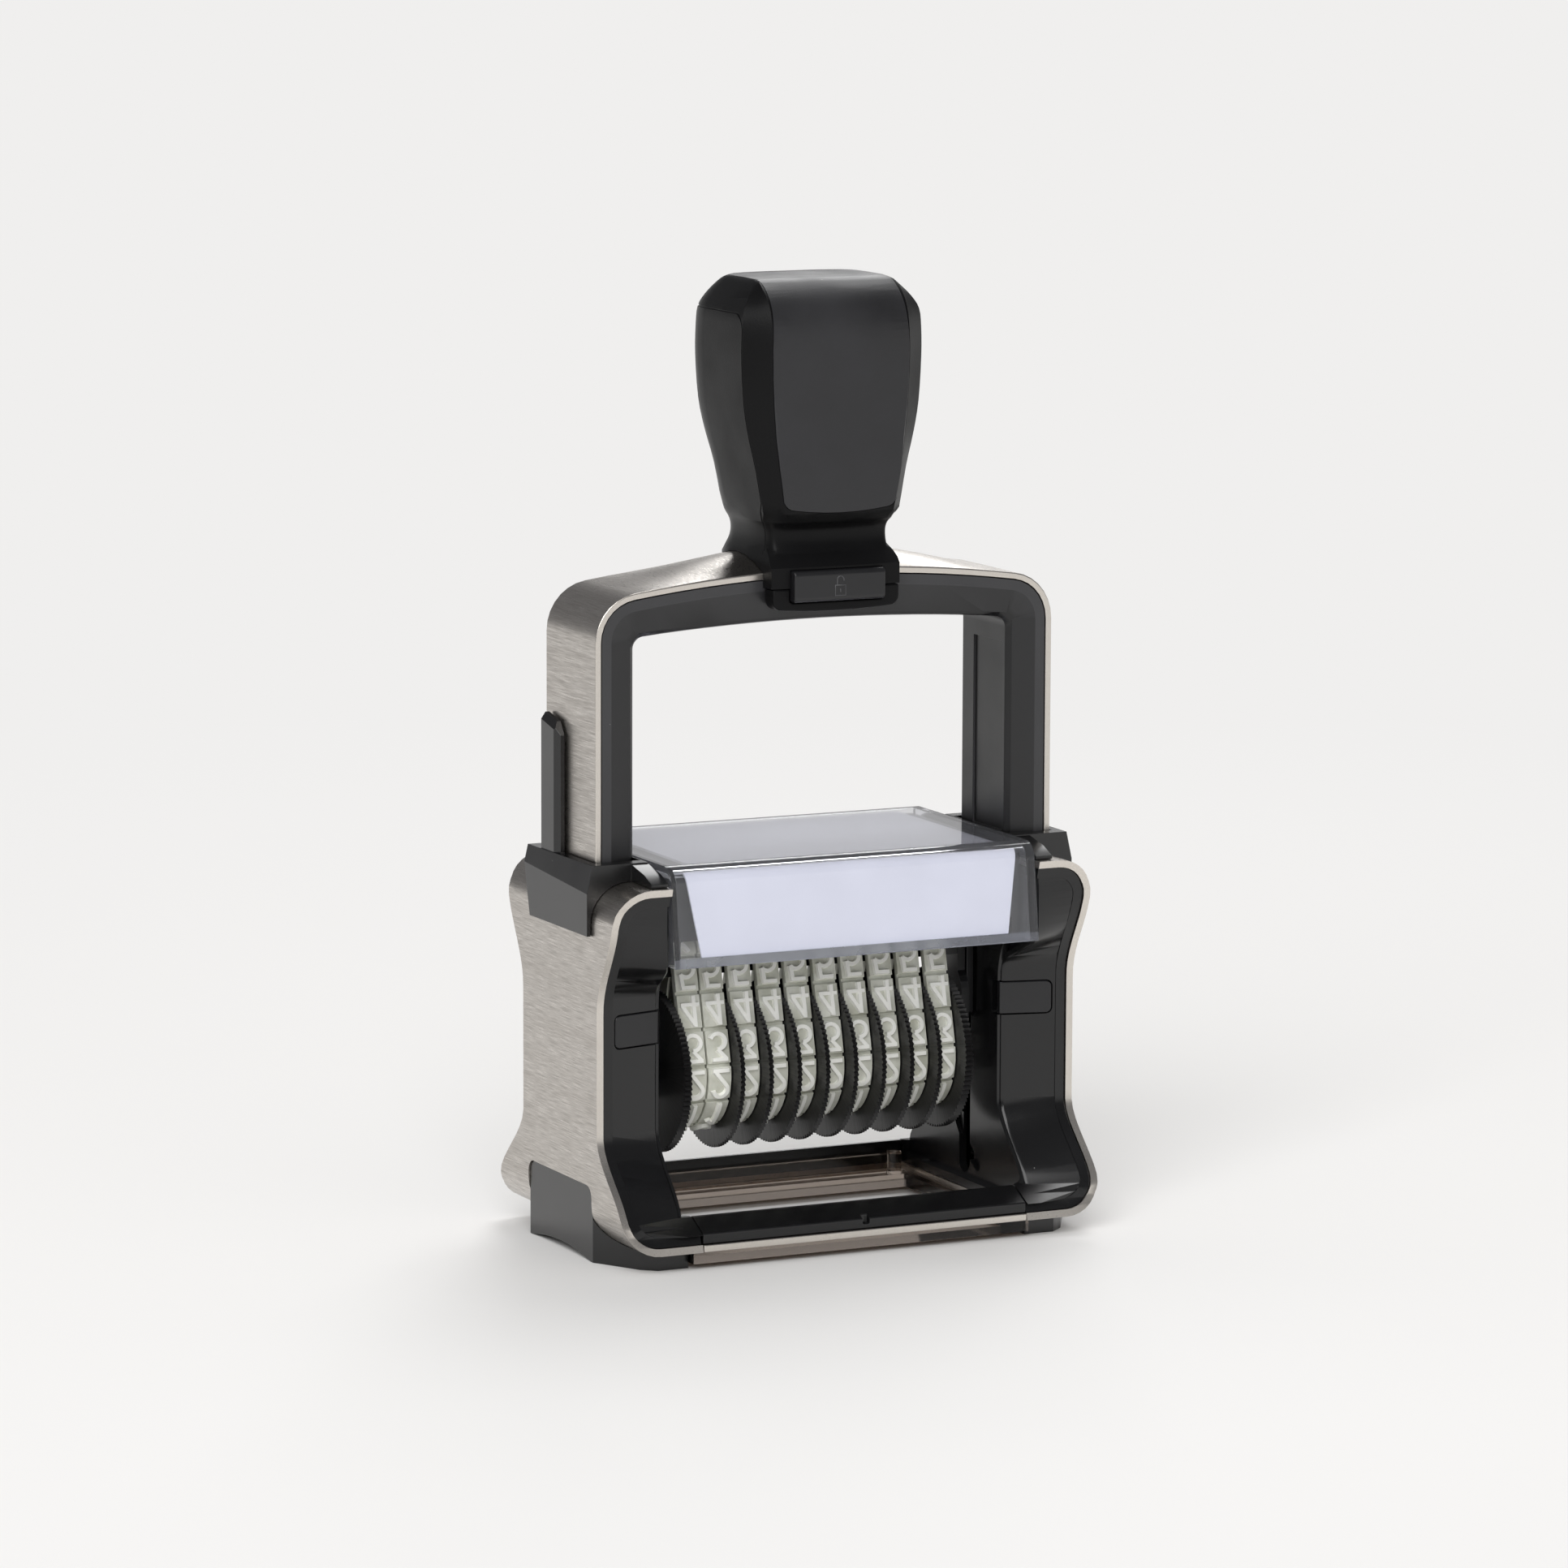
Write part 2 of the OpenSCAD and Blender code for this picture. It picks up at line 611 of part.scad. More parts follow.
module foot_side() {
    difference() {
        union() {
            intersection() {
                linear_extrude(foot_h) polygon(foot_plan);
                front_plate(foot_section, -foot_reach - 1, foot_reach + 1);
            }
            difference() {
                side_plate(round_top(foot_half, 0.4, foot_h, foot_corner_r), corner_x, foot_face_x);
                translate([corner_x, 0, corner_low_z]) rotate([90, 0, 0])
                    cylinder(r = bend_in_r, h = 2 * foot_half + 2, center = true);
                block([corner_x - 1, -foot_half - 1, corner_low_z],
                    [foot_face_x - foot_wall, foot_half + 1, foot_h + 1]);
            }
        }
        translate([corner_x - 2, 0, sole_arch_h - sole_arch_r]) rotate([0, 90, 0])
            cylinder(r = sole_arch_r, h = bend_r + 4, $fn = 96);
    }
}
module foot_left() {
    color("#29292b") on_side(-1) foot_side();
}
module foot_right() {
    color("#29292b") on_side(1) foot_side();
}

// Clear frame around the imprint opening
frame_half_x = foot_in_x - 0.2;
frame_half_y = sill_front - 1.6;
frame_hole_x = frame_half_x - 2.4;
frame_hole_y = 16.2;
frame_wall_y = rail_front - rail_depth - slide_gap;
frame_wall = 1.2;
frame_step = 0.8;
lug_r = 1.3;
lug_h = 4.6;
module base_frame() {
    floor_top = sole_z - seat_gap;
    color("#8d7f76", 0.55) difference() {
        union() {
            block([-frame_half_x, -frame_half_y, frame_lift], [frame_half_x, frame_half_y, floor_top]);
            for (s = [-1, 1]) {
                block([-frame_hole_x, s > 0 ? frame_wall_y - frame_wall : -frame_wall_y, frame_lift],
                    [frame_hole_x, s > 0 ? frame_wall_y : frame_wall - frame_wall_y, rail_top_z - 2]);
            }
            for (x = [-1, 1], y = [-1, 1]) {
                translate([x * (frame_hole_x - lug_r), y * (frame_hole_y + frame_step + lug_r),
                    floor_top - frame_step])
                    cylinder(r = lug_r, h = lug_h);
            }
        }
        block([-frame_hole_x, -frame_hole_y, 0], [frame_hole_x, frame_hole_y, rail_top_z]);
        for (s = [-1, 1]) {
            block([-frame_hole_x, s > 0 ? frame_hole_y - 1 : -frame_hole_y - frame_step,
                floor_top - frame_step],
                [frame_hole_x, s > 0 ? frame_hole_y + frame_step : 1 - frame_hole_y, floor_top + 1]);
        }
    }
}

// Clear cover: sloping front, bent over into the flat top, with short side walls
cover_slope_y = 1.8;
cover_bend_r = 3;
cover_back = half_depth(shoulder_z) - 0.4;
cover_low_y = -cover_front;
cover_high_y = cover_slope_y - cover_front;
function cover_line(d) = concat(
    [[cover_low_y + d, cover_low_z]],
    arc(cover_high_y + cover_bend_r, cover_top_z - cover_bend_r, cover_bend_r - d, 172, 90, 6),
    [[cover_back, cover_top_z - d]]
);
cover_side_len = 9;
module window_cover() {
    color("#cfd3e0", 0.35) {
        side_plate(concat(cover_line(0), reversed(cover_line(cover_t))), -cover_half, cover_half);
        for (s = [-1, 1]) {
            x = s > 0 ? cover_half - cover_t : -cover_half;
            side_plate(concat(cover_line(cover_t / 2),
                [[cover_back, cover_top_z - 4], [cover_side_len - cover_front, cover_top_z - 4],
                    [cover_side_len - cover_front, cover_low_z]]),
                x, x + cover_t);
        }
    }
}
// White card behind the sloping front
card_low_half = cover_half - 5.4;
card_high_half = cover_half - 3;
card_low_z = cover_low_z + 1.4;
card_high_z = cover_top_z - cover_t - seat_gap;
card_bend = 112;
card_low_y = mix(cover_low_y, cover_high_y,
    (card_low_z - cover_low_z) / (cover_top_z - cover_bend_r - cover_low_z));
function card_line(d) = concat(
    [[card_low_y + d, card_low_z]],
    arc(cover_high_y + cover_bend_r, cover_top_z - cover_bend_r, cover_bend_r - d, 172, card_bend, 5)
);
module index_card() {
    color("white") intersection() {
        side_plate(concat(card_line(cover_t + seat_gap), reversed(card_line(cover_t + seat_gap + card_t))),
            -card_high_half, card_high_half);
        front_plate([[-card_low_half, card_low_z - 1], [card_low_half, card_low_z - 1],
            [card_high_half, card_high_z], [-card_high_half, card_high_z]], -cover_front - 1, 0);
    }
}
// Pale card under the clear top
top_card_half = cover_half - 5.3;
module top_card() {
    color("#dcdce2") block([-top_card_half, 5 - cover_front + cover_slope_y,
        cover_top_z - cover_t - seat_gap - card_t],
        [top_card_half, cover_back - 2, cover_top_z - cover_t - seat_gap]);
}

// Pad cartridge: an inverted tray with the ink pad in it
tray_half = cover_half - cover_t - slide_gap;
tray_top_z = cover_top_z - cover_t - card_t - 2 * seat_gap - slide_gap;
tray_front = cover_front - cover_slope_y - cover_t - card_t - 1.4;
tray_back = cover_back - 0.4;
tray_wall = 1.5;
tray_floor = 2;
tray_lip_z = print_z + 1.2;
pad_half_y = 13;
pad_face_z = print_z + 0.25;
module pad_tray() {
    color("#161617") difference() {
        block([-tray_half, -tray_front, wall_top_z + seat_gap], [tray_half, tray_back, tray_top_z]);
        block([tray_wall - tray_half, -tray_front - 1, wall_top_z - 1],
            [tray_half - tray_wall, tray_back + 1, tray_lip_z]);
        block([tray_wall - tray_half, tray_wall - tray_front, wall_top_z - 1],
            [tray_half - tray_wall, tray_back - tray_wall, tray_top_z - tray_floor]);
    }
}
module ink_pad() {
    color("#1a1a2a") block([tray_wall + seat_gap - tray_half, -pad_half_y, pad_face_z],
        [tray_half - tray_wall - seat_gap, pad_half_y, tray_top_z - tray_floor - seat_gap]);
}

// Path of the arch as [x, z, outward x, outward z], from the left leg over to the right leg
arch_mid_z = arch_top_z - arch_curve_r;
arch_corner_x = arch_x - arch_corner_r;
arch_corner_z = arch_mid_z + sqrt(pow(arch_curve_r - arch_corner_r, 2) - pow(arch_corner_x, 2));
arch_turn = asin(arch_corner_x / (arch_curve_r - arch_corner_r));
arch_steps = 16;
corner_steps = 7;
function arch_point(x, z, r, a) = [x + r * cos(a), z + r * sin(a), cos(a), sin(a)];
function arch_path(low_z) = concat(
    [[-arch_x, low_z, -1, 0]],
    [for (i = [0:corner_steps]) arch_point(-arch_corner_x, arch_corner_z, arch_corner_r,
        mix(180, 90 + arch_turn, i / corner_steps))],
    [for (i = [1:arch_steps - 1]) arch_point(0, arch_mid_z, arch_curve_r,
        mix(90 + arch_turn, 90 - arch_turn, i / arch_steps))],
    [for (i = [0:corner_steps]) arch_point(arch_corner_x, arch_corner_z, arch_corner_r,
        mix(90 - arch_turn, 0, i / corner_steps))],
    [[arch_x, low_z, 1, 0]]
);
// Point at an offset along the outward direction of the path and a depth
function off_path(p, out, y) = [p[0] + p[2] * out, y, p[1] + p[3] * out];
crown_reach = arch_corner_x;
least_crown = 0.03;
function crown(p) = least_crown
    + (p[3] < 0.9 ? 0 : arch_crown * pow(1 - pow(min(1, abs(p[0]) / crown_reach), 2), 1.5));
// Share of the crown at a part q of the half depth
function crown_share(q) = 1 - q * q;
strap_end_z = tab_low_z - 4;
module arch_strap() {
    color("silver") loft([for (p = arch_path(strap_end_z)) let (c = crown(p)) [
        off_path(p, 0, -arch_y), off_path(p, -arch_t, -arch_y), off_path(p, -arch_t, arch_y),
            off_path(p, 0, arch_y),
        for (q = [0.66, 0.33, 0, -0.33, -0.66]) off_path(p, c * crown_share(q), arch_y * q)
    ]]);
}

// Black frame inside the arch, with the two legs that slide in the body
frame_y = arch_y - 0.2;
frame_in_y = arch_y - 1.3;
frame_border = 1.7;
frame_fillet = 0.7;
function frame_depth(p) = leg_w + frame_fillet * pow(2 * p[2] * p[3], 2)
    + (p[3] < 0.9 ? 0 : frame_sag * (1 - pow(p[0] / arch_corner_x, 2)));
bore_x = (leg_in_x + arch_x - arch_t) / 2;
spring_top_z = arch_corner_z - 4;
frame_round = 0.9;
frame_round_steps = [10, 50, 90];
function round_in(q) = frame_round * (1 - sin(q));
function round_back(q) = frame_round * (1 - cos(q));
channel_front = 7;
channel_back = 3.7;
channel_d = 0.4;
module arch_frame() {
    color("#262628") difference() {
        loft([for (p = arch_path(leg_end_z)) let (a = -arch_t - seat_gap, w = -frame_depth(p)) [
            off_path(p, a, -frame_y), off_path(p, a - frame_border, -frame_y),
            for (q = frame_round_steps) off_path(p, w + round_in(q), round_back(q) - frame_in_y),
            for (q = reversed(frame_round_steps)) off_path(p, w + round_in(q), frame_in_y - round_back(q)),
            off_path(p, a - frame_border, frame_y), off_path(p, a, frame_y)
        ]]);
        for (s = [-1, 1]) {
            translate([s * bore_x, spring_y, leg_end_z - 1])
                cylinder(d = spring_d + 2 * slide_gap, h = spring_top_z - leg_end_z + 1);
            rod(s > 0 ? leg_in_x - 1 : -arch_x + 2, s > 0 ? arch_x - 2 : 1 - leg_in_x, 0, pivot_z,
                pin_d + press_gap);
            on_side(s) block([leg_in_x - 1, -channel_front, collar_top_z],
                [leg_in_x + channel_d, channel_back, spring_top_z]);
        }
    }
}

// Arm on the inner side of a cheek wall, joined to its leg through the wall's slot
arm_out_x = wall_x - slide_gap;
arm_in_x = arm_out_x - arm_t;
arm_half = 3.4;
arm_low_z = pivot_z - 4.6;
arm_top_z = pivot_z + 8;
arm_toe = 1.2;
module yoke_arm() {
    difference() {
        union() {
            side_plate([[-arm_half, arm_low_z + arm_toe], [arm_toe - arm_half, arm_low_z],
                [arm_half - arm_toe, arm_low_z], [arm_half, arm_low_z + arm_toe],
                [arm_half, arm_top_z], [-arm_half, arm_top_z]], arm_in_x, arm_out_x);
            block([arm_in_x + arm_t / 3, -pin_d / 2, pivot_z + pin_d],
                [leg_in_x - seat_gap, pin_d / 2, arm_top_z]);
        }
        rod(arm_in_x - 1, arm_out_x + 1, 0, pivot_z, pin_d + press_gap);
        block([arm_in_x - 1, -arm_half / 2, arm_top_z - arm_half],
            [arm_in_x + arm_t / 4, arm_half / 2, arm_top_z + 1]);
    }
}
module yoke_arm_left() {
    color("#303033") on_side(-1) yoke_arm();
}
module yoke_arm_right() {
    color("#303033") on_side(1) yoke_arm();
}
carriage_out_x = arm_in_x - slide_gap;
carriage_in_x = carriage_out_x - carriage_t;
module trunnion() {
    rod(carriage_in_x, arch_x - arch_t - 1.6, 0, pivot_z, pin_d);
}
module trunnion_left() {
    color("gray") on_side(-1) trunnion();
}
module trunnion_right() {
    color("gray") on_side(1) trunnion();
}

// Return spring inside a leg: one wire wound from the cheek's floor to the end of the leg's bore
spring_low_z = floor_z + spring_wire / 2 + 0.05;
spring_high_z = spring_top_z - spring_wire / 2 - 0.1;
coil_r = (spring_d - spring_wire) / 2;
coil_rings = spring_coils * 8;
coil_pitch = (spring_high_z - spring_low_z) / spring_coils;
coil_slope = atan(coil_pitch / (2 * PI * coil_r));
function coil_ring(i) = let (a = i * 45, z = mix(spring_low_z, spring_high_z, i / coil_rings)) [
    for (j = [0:5]) let (b = -60 * j, r = coil_r + spring_wire / 2 * cos(b), v = spring_wire / 2 * sin(b))
        [r * cos(a) + v * sin(coil_slope) * sin(a), r * sin(a) - v * sin(coil_slope) * cos(a),
            z + v * cos(coil_slope)]
];
echo(least_gap_between_spring_coils = coil_pitch * cos(coil_slope) - spring_wire);
module return_spring() {
    translate([bore_x, spring_y, 0]) loft([for (i = [0:coil_rings]) coil_ring(i)]);
}
module return_spring_left() {
    color("gray") on_side(-1) return_spring();
}
module return_spring_right() {
    color("gray") on_side(1) return_spring();
}

// Form of the steel's upper side beside the handle, as a solid to cut what sits on it
module arch_saddle(gap) {
    reach = grip_half + 2;
    loft([for (i = [0:6]) let (
            x = mix(-reach, reach, i / 6),
            top = arch_mid_z + sqrt(arch_curve_r * arch_curve_r - x * x),
            c = crown([x, top, 0, 1])) concat(
        [[x, -arch_y - gap, top - 20], [x, arch_y + gap, top - 20]],
        [for (q = [1, 0.66, 0.33, 0, -0.33, -0.66, -1])
            [x, q * (arch_y + gap), top + c * crown_share(q) + gap]])]);
}

// Grip: rows of [height, half width, bezel edge, front, back, half width of the inlay]
hood_low_z = arch_top_z - 2.6;
hood_top_z = arch_top_z + 0.8;
neck_z = arch_top_z + 5.8;
lip_z = neck_z + 2.6;
bezel_y = grip_front - bezel_w;
inlay_half = grip_half - bezel_w;
body_h = total_h - lip_z;
skirt_back = arch_y + 1.3;
grip_rows = [
    [hood_low_z, skirt_half, skirt_front - 0.5, skirt_front, skirt_back, skirt_half * 0.8],
    [hood_top_z, skirt_half, skirt_front - 0.5, skirt_front, skirt_back, skirt_half * 0.8],
    [hood_top_z + 0.9, skirt_half, bezel_y + 0.9, skirt_front - 0.7, skirt_back - 0.2, skirt_half * 0.8],
    [hood_top_z + 1.8, skirt_half - 0.3, bezel_y, bezel_y + 0.7, skirt_back - 0.6, skirt_half * 0.78],
    [neck_z - 1.6, neck_half + 0.2, bezel_y - 0.8, bezel_y - 0.1, grip_back * 0.86, neck_half * 0.8],
    [neck_z, neck_half, bezel_y - 1, bezel_y - 0.3, grip_back * 0.8, neck_half * 0.8],
    [lip_z - 1, neck_half + 0.3, bezel_y - 0.9, bezel_y + 0.3, grip_back * 0.76, neck_half * 0.8],
    [lip_z, neck_half + 1.1, bezel_y - 0.3, grip_front - 1.2, grip_back * 0.75, neck_half * 0.86],
    [lip_z + 1.4, neck_half + 1.6, bezel_y, grip_front - 0.3, grip_back * 0.75, neck_half * 0.9],
    [lip_z + body_h * 0.21, mix(neck_half, grip_half, 0.52), bezel_y, grip_front, grip_back * 0.8,
        inlay_half - 1.5],
    [lip_z + body_h * 0.35, mix(neck_half, grip_half, 0.76), bezel_y, grip_front, grip_back * 0.9,
        inlay_half - 1],
    [lip_z + body_h * 0.48, mix(neck_half, grip_half, 0.92), bezel_y, grip_front, grip_back * 0.97,
        inlay_half - 0.5],
    [lip_z + body_h * 0.66, grip_half, bezel_y, grip_front, grip_back, inlay_half - 0.1],
    [total_h - 8.4, grip_half - 0.05, bezel_y, grip_front - 0.2, grip_back - 0.1, inlay_half],
    [total_h - 5.4, grip_half - 0.25, bezel_y - 0.4, grip_front - 0.9, grip_back - 0.5, inlay_half],
    [total_h - 3.4, grip_half - 1.3, bezel_y - 1.1, grip_front - 2, grip_back - 1.1, inlay_half],
    [total_h - 1.6, grip_half - 2.7, bezel_y - 2.4, grip_front - 3.9, grip_back - 2.2, inlay_half],
    [total_h - 0.5, grip_half - 3.7, bezel_y - 3.7, grip_front - 5.8, grip_back - 3.4, inlay_half - 0.2],
    [total_h, grip_half - 4.6, bezel_y - 5.2, grip_front - 7.8, grip_back - 4.6, inlay_half - 0.9]
];
// Smooth curve through the rows above the lip, with extra rows between them
row_steps = 3;
plain_rows = 8;
function row_curve(a, b, c, d, t) =
    b + (c - a) * t / 2 + (2 * a - 5 * b + 4 * c - d) * t * t / 2 + (3 * b - a - 3 * c + d) * t * t * t / 2;
last_row = len(grip_rows) - 1;
dense_rows = concat(
    [for (i = [0:plain_rows - 1]) grip_rows[i]],
    [for (i = [plain_rows:last_row - 1], k = [0:row_steps - 1])
        row_curve(grip_rows[i - 1], grip_rows[i], grip_rows[i + 1], grip_rows[min(last_row, i + 2)],
            k / row_steps)],
    [grip_rows[last_row]]
);
// Half of a ring from the front middle to the back middle, then its mirror image
function grip_half_ring(r, d) =
    let (w = r[1] - d, e = r[2] - d * 0.7, f = r[3] - d, b = r[4] - d, u = min(r[5], w - 0.4)) [
    [u * 0.5, -f], [u, -f + 0.3], [mix(u, w, 0.5), -mix(f - 0.3, e, 0.5)], [w, -e], [w + 0.15, -e * 0.3],
    [w, b * 0.3], [w - 0.25, b * 0.5], [w - 0.8, b * 0.68], [w - 1.9, b * 0.83], [w - 3.8, b * 0.93],
        [w * 0.4, b]
];
function grip_ring(r, d, z) = let (h = grip_half_ring(r, d)) concat(
    [for (p = h) [p[0], p[1], z]],
    [for (i = [len(h) - 1:-1:0]) [-h[i][0], h[i][1], z]]
);
module grip_form(d, first) {
    loft([for (i = [first:len(dense_rows) - 1]) let (r = dense_rows[i])
        grip_ring(r, d, r[0] - d * smooth((r[0] - lip_z - body_h / 2) / (body_h / 2)))]);
}
// Front outline of the inlay, which runs from the front over the top
inlay_low_z = lip_z + 2;
inlay_corner_r = 2;
inlay_back = 4;
inlay_taper = 2.1;
inlay_bow = 0.6;
inlay_full_z = total_h - 11;
module inlay_prism(gap) {
    low = inlay_half - inlay_taper + gap;
    r = inlay_corner_r + gap;
    corner_z = inlay_low_z + inlay_corner_r;
    left = concat(
        [for (t = [1:-0.2:0.2]) [inlay_taper * pow(1 - t, 2) - inlay_half - gap,
            mix(corner_z, inlay_full_z, t)]],
        arc(r - low, corner_z, r, 180, 270, 5),
        [for (t = [-0.7, -0.35]) [t * (low - r), inlay_low_z - gap - inlay_bow * (1 - t * t)]]
    );
    front_plate(concat(
        [[inlay_half + gap - 0.6, total_h + 1], [0.6 - gap - inlay_half, total_h + 1]],
        left,
        [[0, inlay_low_z - gap - inlay_bow]],
        [for (p = reversed(left)) [-p[0], p[1]]]),
        -grip_front - 1, inlay_back + gap);
}
lock_z = arch_top_z - 2.25;
lock_face = skirt_front + 1.3;
lock_back = arch_y + 0.2 + slide_gap + lock_travel;
module lock_pocket(gap) {
    block([-lock_half - gap, -lock_face - 1, lock_z - lock_h / 2 - gap],
        [lock_half + gap, -arch_y - seat_gap, lock_z + lock_h / 2 + gap]);
}
module handle_grip() {
    color("#19191b") difference() {
        grip_form(0, 0);
        difference() {
            inlay_prism(seat_gap);
            grip_form(inlay_t + seat_gap, 6);
        }
        arch_saddle(seat_gap);
        lock_pocket(seat_gap);
    }
}
module grip_inlay() {
    color("#38383b") difference() {
        intersection() {
            grip_form(0, 6);
            inlay_prism(0);
        }
        grip_form(inlay_t, 6);
    }
}

// Housing in front of the arch that closes the lock button's pocket from below
housing_low_z = arch_top_z - 6.6;
housing_top_z = hood_low_z - seat_gap;
housing_half = skirt_half - 0.2;
housing_front = skirt_front - 0.2;
housing_round = 1.6;
housing_bow_r = 120;
module lock_housing() {
    bow = asin((housing_half - housing_round) / housing_bow_r);
    low = housing_low_z + housing_bow_r * (1 - cos(bow));
    color("#1d1d1f") difference() {
        front_plate(concat(
            [[housing_half, housing_top_z], [-housing_half, housing_top_z]],
            arc(housing_round - housing_half, low + housing_round, housing_round, 180, 270, 5),
            arc(0, housing_low_z + housing_bow_r, housing_bow_r, 270 - bow * 0.6, 270 + bow * 0.6, 4),
            arc(housing_half - housing_round, low + housing_round, housing_round, 270, 360, 5)),
            -housing_front, -arch_y - seat_gap);
        lock_pocket(seat_gap);
    }
}
module lock_button() {
    low = lock_z - lock_h / 2;
    color("#2b2b2e") side_plate([[-lock_face + 0.5, low], [-lock_back, low],
        [-lock_back, low + lock_h], [-lock_face + 0.5, low + lock_h],
        [-lock_face, low + lock_h - 0.6], [-lock_face, low + 0.6]], -lock_half, lock_half);
}

// Number unit: side plates on the trunnions, platen under the bands and the wheel axle
platen_half = 3.3;
platen_h = 4;
platen_round = 1;
carriage_top_z = pivot_z + print_reach - 3.6;
carriage_r = 5;
carriage_foot_r = 4.6;
ear_r = 1.9;
loop_r = drum_r + slide_gap;
turn_r = 1.4;
turn_y = 2.4;
turn_z = print_z - relief - band_t - turn_r;
module carriage() {
    difference() {
        union() {
            side_plate(concat(
                arc(0, wheel_z, carriage_foot_r, -180, 0, 12),
                arc(0, pivot_z, carriage_r, 0, 50, 4),
                [[platen_half, carriage_top_z], [-platen_half, carriage_top_z]],
                arc(0, pivot_z, carriage_r, 130, 180, 4)), carriage_in_x, carriage_out_x);
            side_plate(concat(
                arc(cam_point(0)[0], cam_point(0)[1], ear_r, -cam_lean, 180 - cam_lean, 10),
                [[0, pivot_z + carriage_r], [platen_half / 2, pivot_z]]), carriage_in_x, carriage_out_x);
        }
        rod(carriage_in_x - 1, carriage_out_x + 1, cam_point(0)[0], cam_point(0)[1], cam_d + press_gap);
        rod(carriage_in_x - 1, carriage_out_x + 1, 0, pivot_z, pin_d + 2 * run_gap);
        rod(carriage_in_x - 1, carriage_out_x + 1, 0, wheel_z, axle_d + press_gap);
    }
}
module carriage_left() {
    color("#1c1c1e") on_side(-1) carriage();
}
module carriage_right() {
    color("#1c1c1e") on_side(1) carriage();
}
// Pin that runs in the wall's cam groove and turns the unit over
module cam_pin() {
    rod(carriage_in_x, wall_x + groove_d - seat_gap, cam_point(0)[0], cam_point(0)[1], cam_d);
}
module cam_pin_left() {
    color("gray") on_side(-1) cam_pin();
}
module cam_pin_right() {
    color("gray") on_side(1) cam_pin();
}
module platen() {
    top = turn_z + turn_r - seat_gap;
    color("#151516") side_plate(concat(
        [[-platen_half, turn_z - platen_h], [platen_half, turn_z - platen_h]],
        arc(platen_half - platen_round, top - platen_round, platen_round, 0, 90, 4),
        arc(platen_round - platen_half, top - platen_round, platen_round, 90, 180, 4)),
        seat_gap - carriage_in_x, carriage_in_x - seat_gap);
}
module wheel_axle() {
    color("silver") rod(-carriage_out_x, carriage_out_x, 0, wheel_z, axle_d);
}

// Loop of a band around the drum and over the platen, as a closed outline in Y and Z
loop_len = norm([turn_y, turn_z - wheel_z]);
loop_turn = atan2(turn_z - wheel_z, turn_y) - acos((loop_r - turn_r) / loop_len);
function loop_line(d) = concat(
    arc(0, wheel_z, loop_r + d, 180 - loop_turn, 360 + loop_turn, 24),
    arc(turn_y, turn_z, turn_r + d, loop_turn, 90, 5),
    arc(-turn_y, turn_z, turn_r + d, 90, 180 - loop_turn, 5)
);
// Point on the outside of the loop as [y, z, outward angle], at a distance along the band from the top of
// its front run
run_len = sqrt(loop_len * loop_len - pow(loop_r - turn_r, 2));
drum_out_r = loop_r + band_t;
turn_out_r = turn_r + band_t;
drum_len = drum_out_r * (180 + 2 * loop_turn) * PI / 180;
turn_len = turn_out_r * (90 - loop_turn) * PI / 180;
loop_total = 2 * run_len + drum_len + 2 * turn_len + 2 * turn_y;
function on_arc(y, z, r, a) = [y + r * cos(a), z + r * sin(a), a];
function along(p, d) = [p[0] - d * sin(p[2]), p[1] + d * cos(p[2]), p[2]];
function loop_at(s) = s < run_len ? along(on_arc(-turn_y, turn_z, turn_out_r, 180 - loop_turn), s)
    : s < run_len + drum_len ? on_arc(0, wheel_z, drum_out_r,
        180 - loop_turn + (s - run_len) / drum_out_r * 180 / PI)
    : s < 2 * run_len + drum_len ? along(on_arc(0, wheel_z, drum_out_r, loop_turn), s - run_len - drum_len)
    : s < 2 * run_len + drum_len + turn_len
        ? on_arc(turn_y, turn_z, turn_out_r,
            loop_turn + (s - 2 * run_len - drum_len) / turn_out_r * 180 / PI)
    : s < loop_total - turn_len
        ? along(on_arc(turn_y, turn_z, turn_out_r, 90), s - 2 * run_len - drum_len - turn_len)
    : on_arc(-turn_y, turn_z, turn_out_r, 90 + (s - loop_total + turn_len) / turn_out_r * 180 / PI);
// Cuts between the figure blocks, evenly spaced along the band
cut_w = 0.6;
cut_d = 0.55;
first_cut = 1;
module band_section() {
    difference() {
        polygon(loop_line(band_t));
        polygon(loop_line(0));
        for (k = [0:band_blocks - 1]) {
            p = loop_at(first_cut + loop_total * k / band_blocks);
            translate([p[0], p[1]]) rotate(p[2]) square([2 * cut_d, cut_w], center = true);
        }
    }
}
// Left edge of a band; the first wheel has its disc on the outside, so its band sits closer
first_gap = 0.37;
band_right_x = carriage_in_x - band_margin_right;
band_left_x = band_margin_left - carriage_in_x;
band_pitch = (band_right_x - band_left_x - first_gap) / (wheel_count - 2 + 2 * band_share);
band_w = band_pitch * band_share;
disc_t = band_pitch * disc_share;
band_gap = (band_pitch - band_w - disc_t) / 2;
function band_x(k) = k > 1
    ? band_right_x - band_w - (wheel_count - k) * band_pitch
    : band_x(2) - first_gap - band_w;
module number_band(k) {
    color("#e9ebdf") translate([band_x(k), 0, 0]) rotate([90, 0, 90]) linear_extrude(band_w) band_section();
}

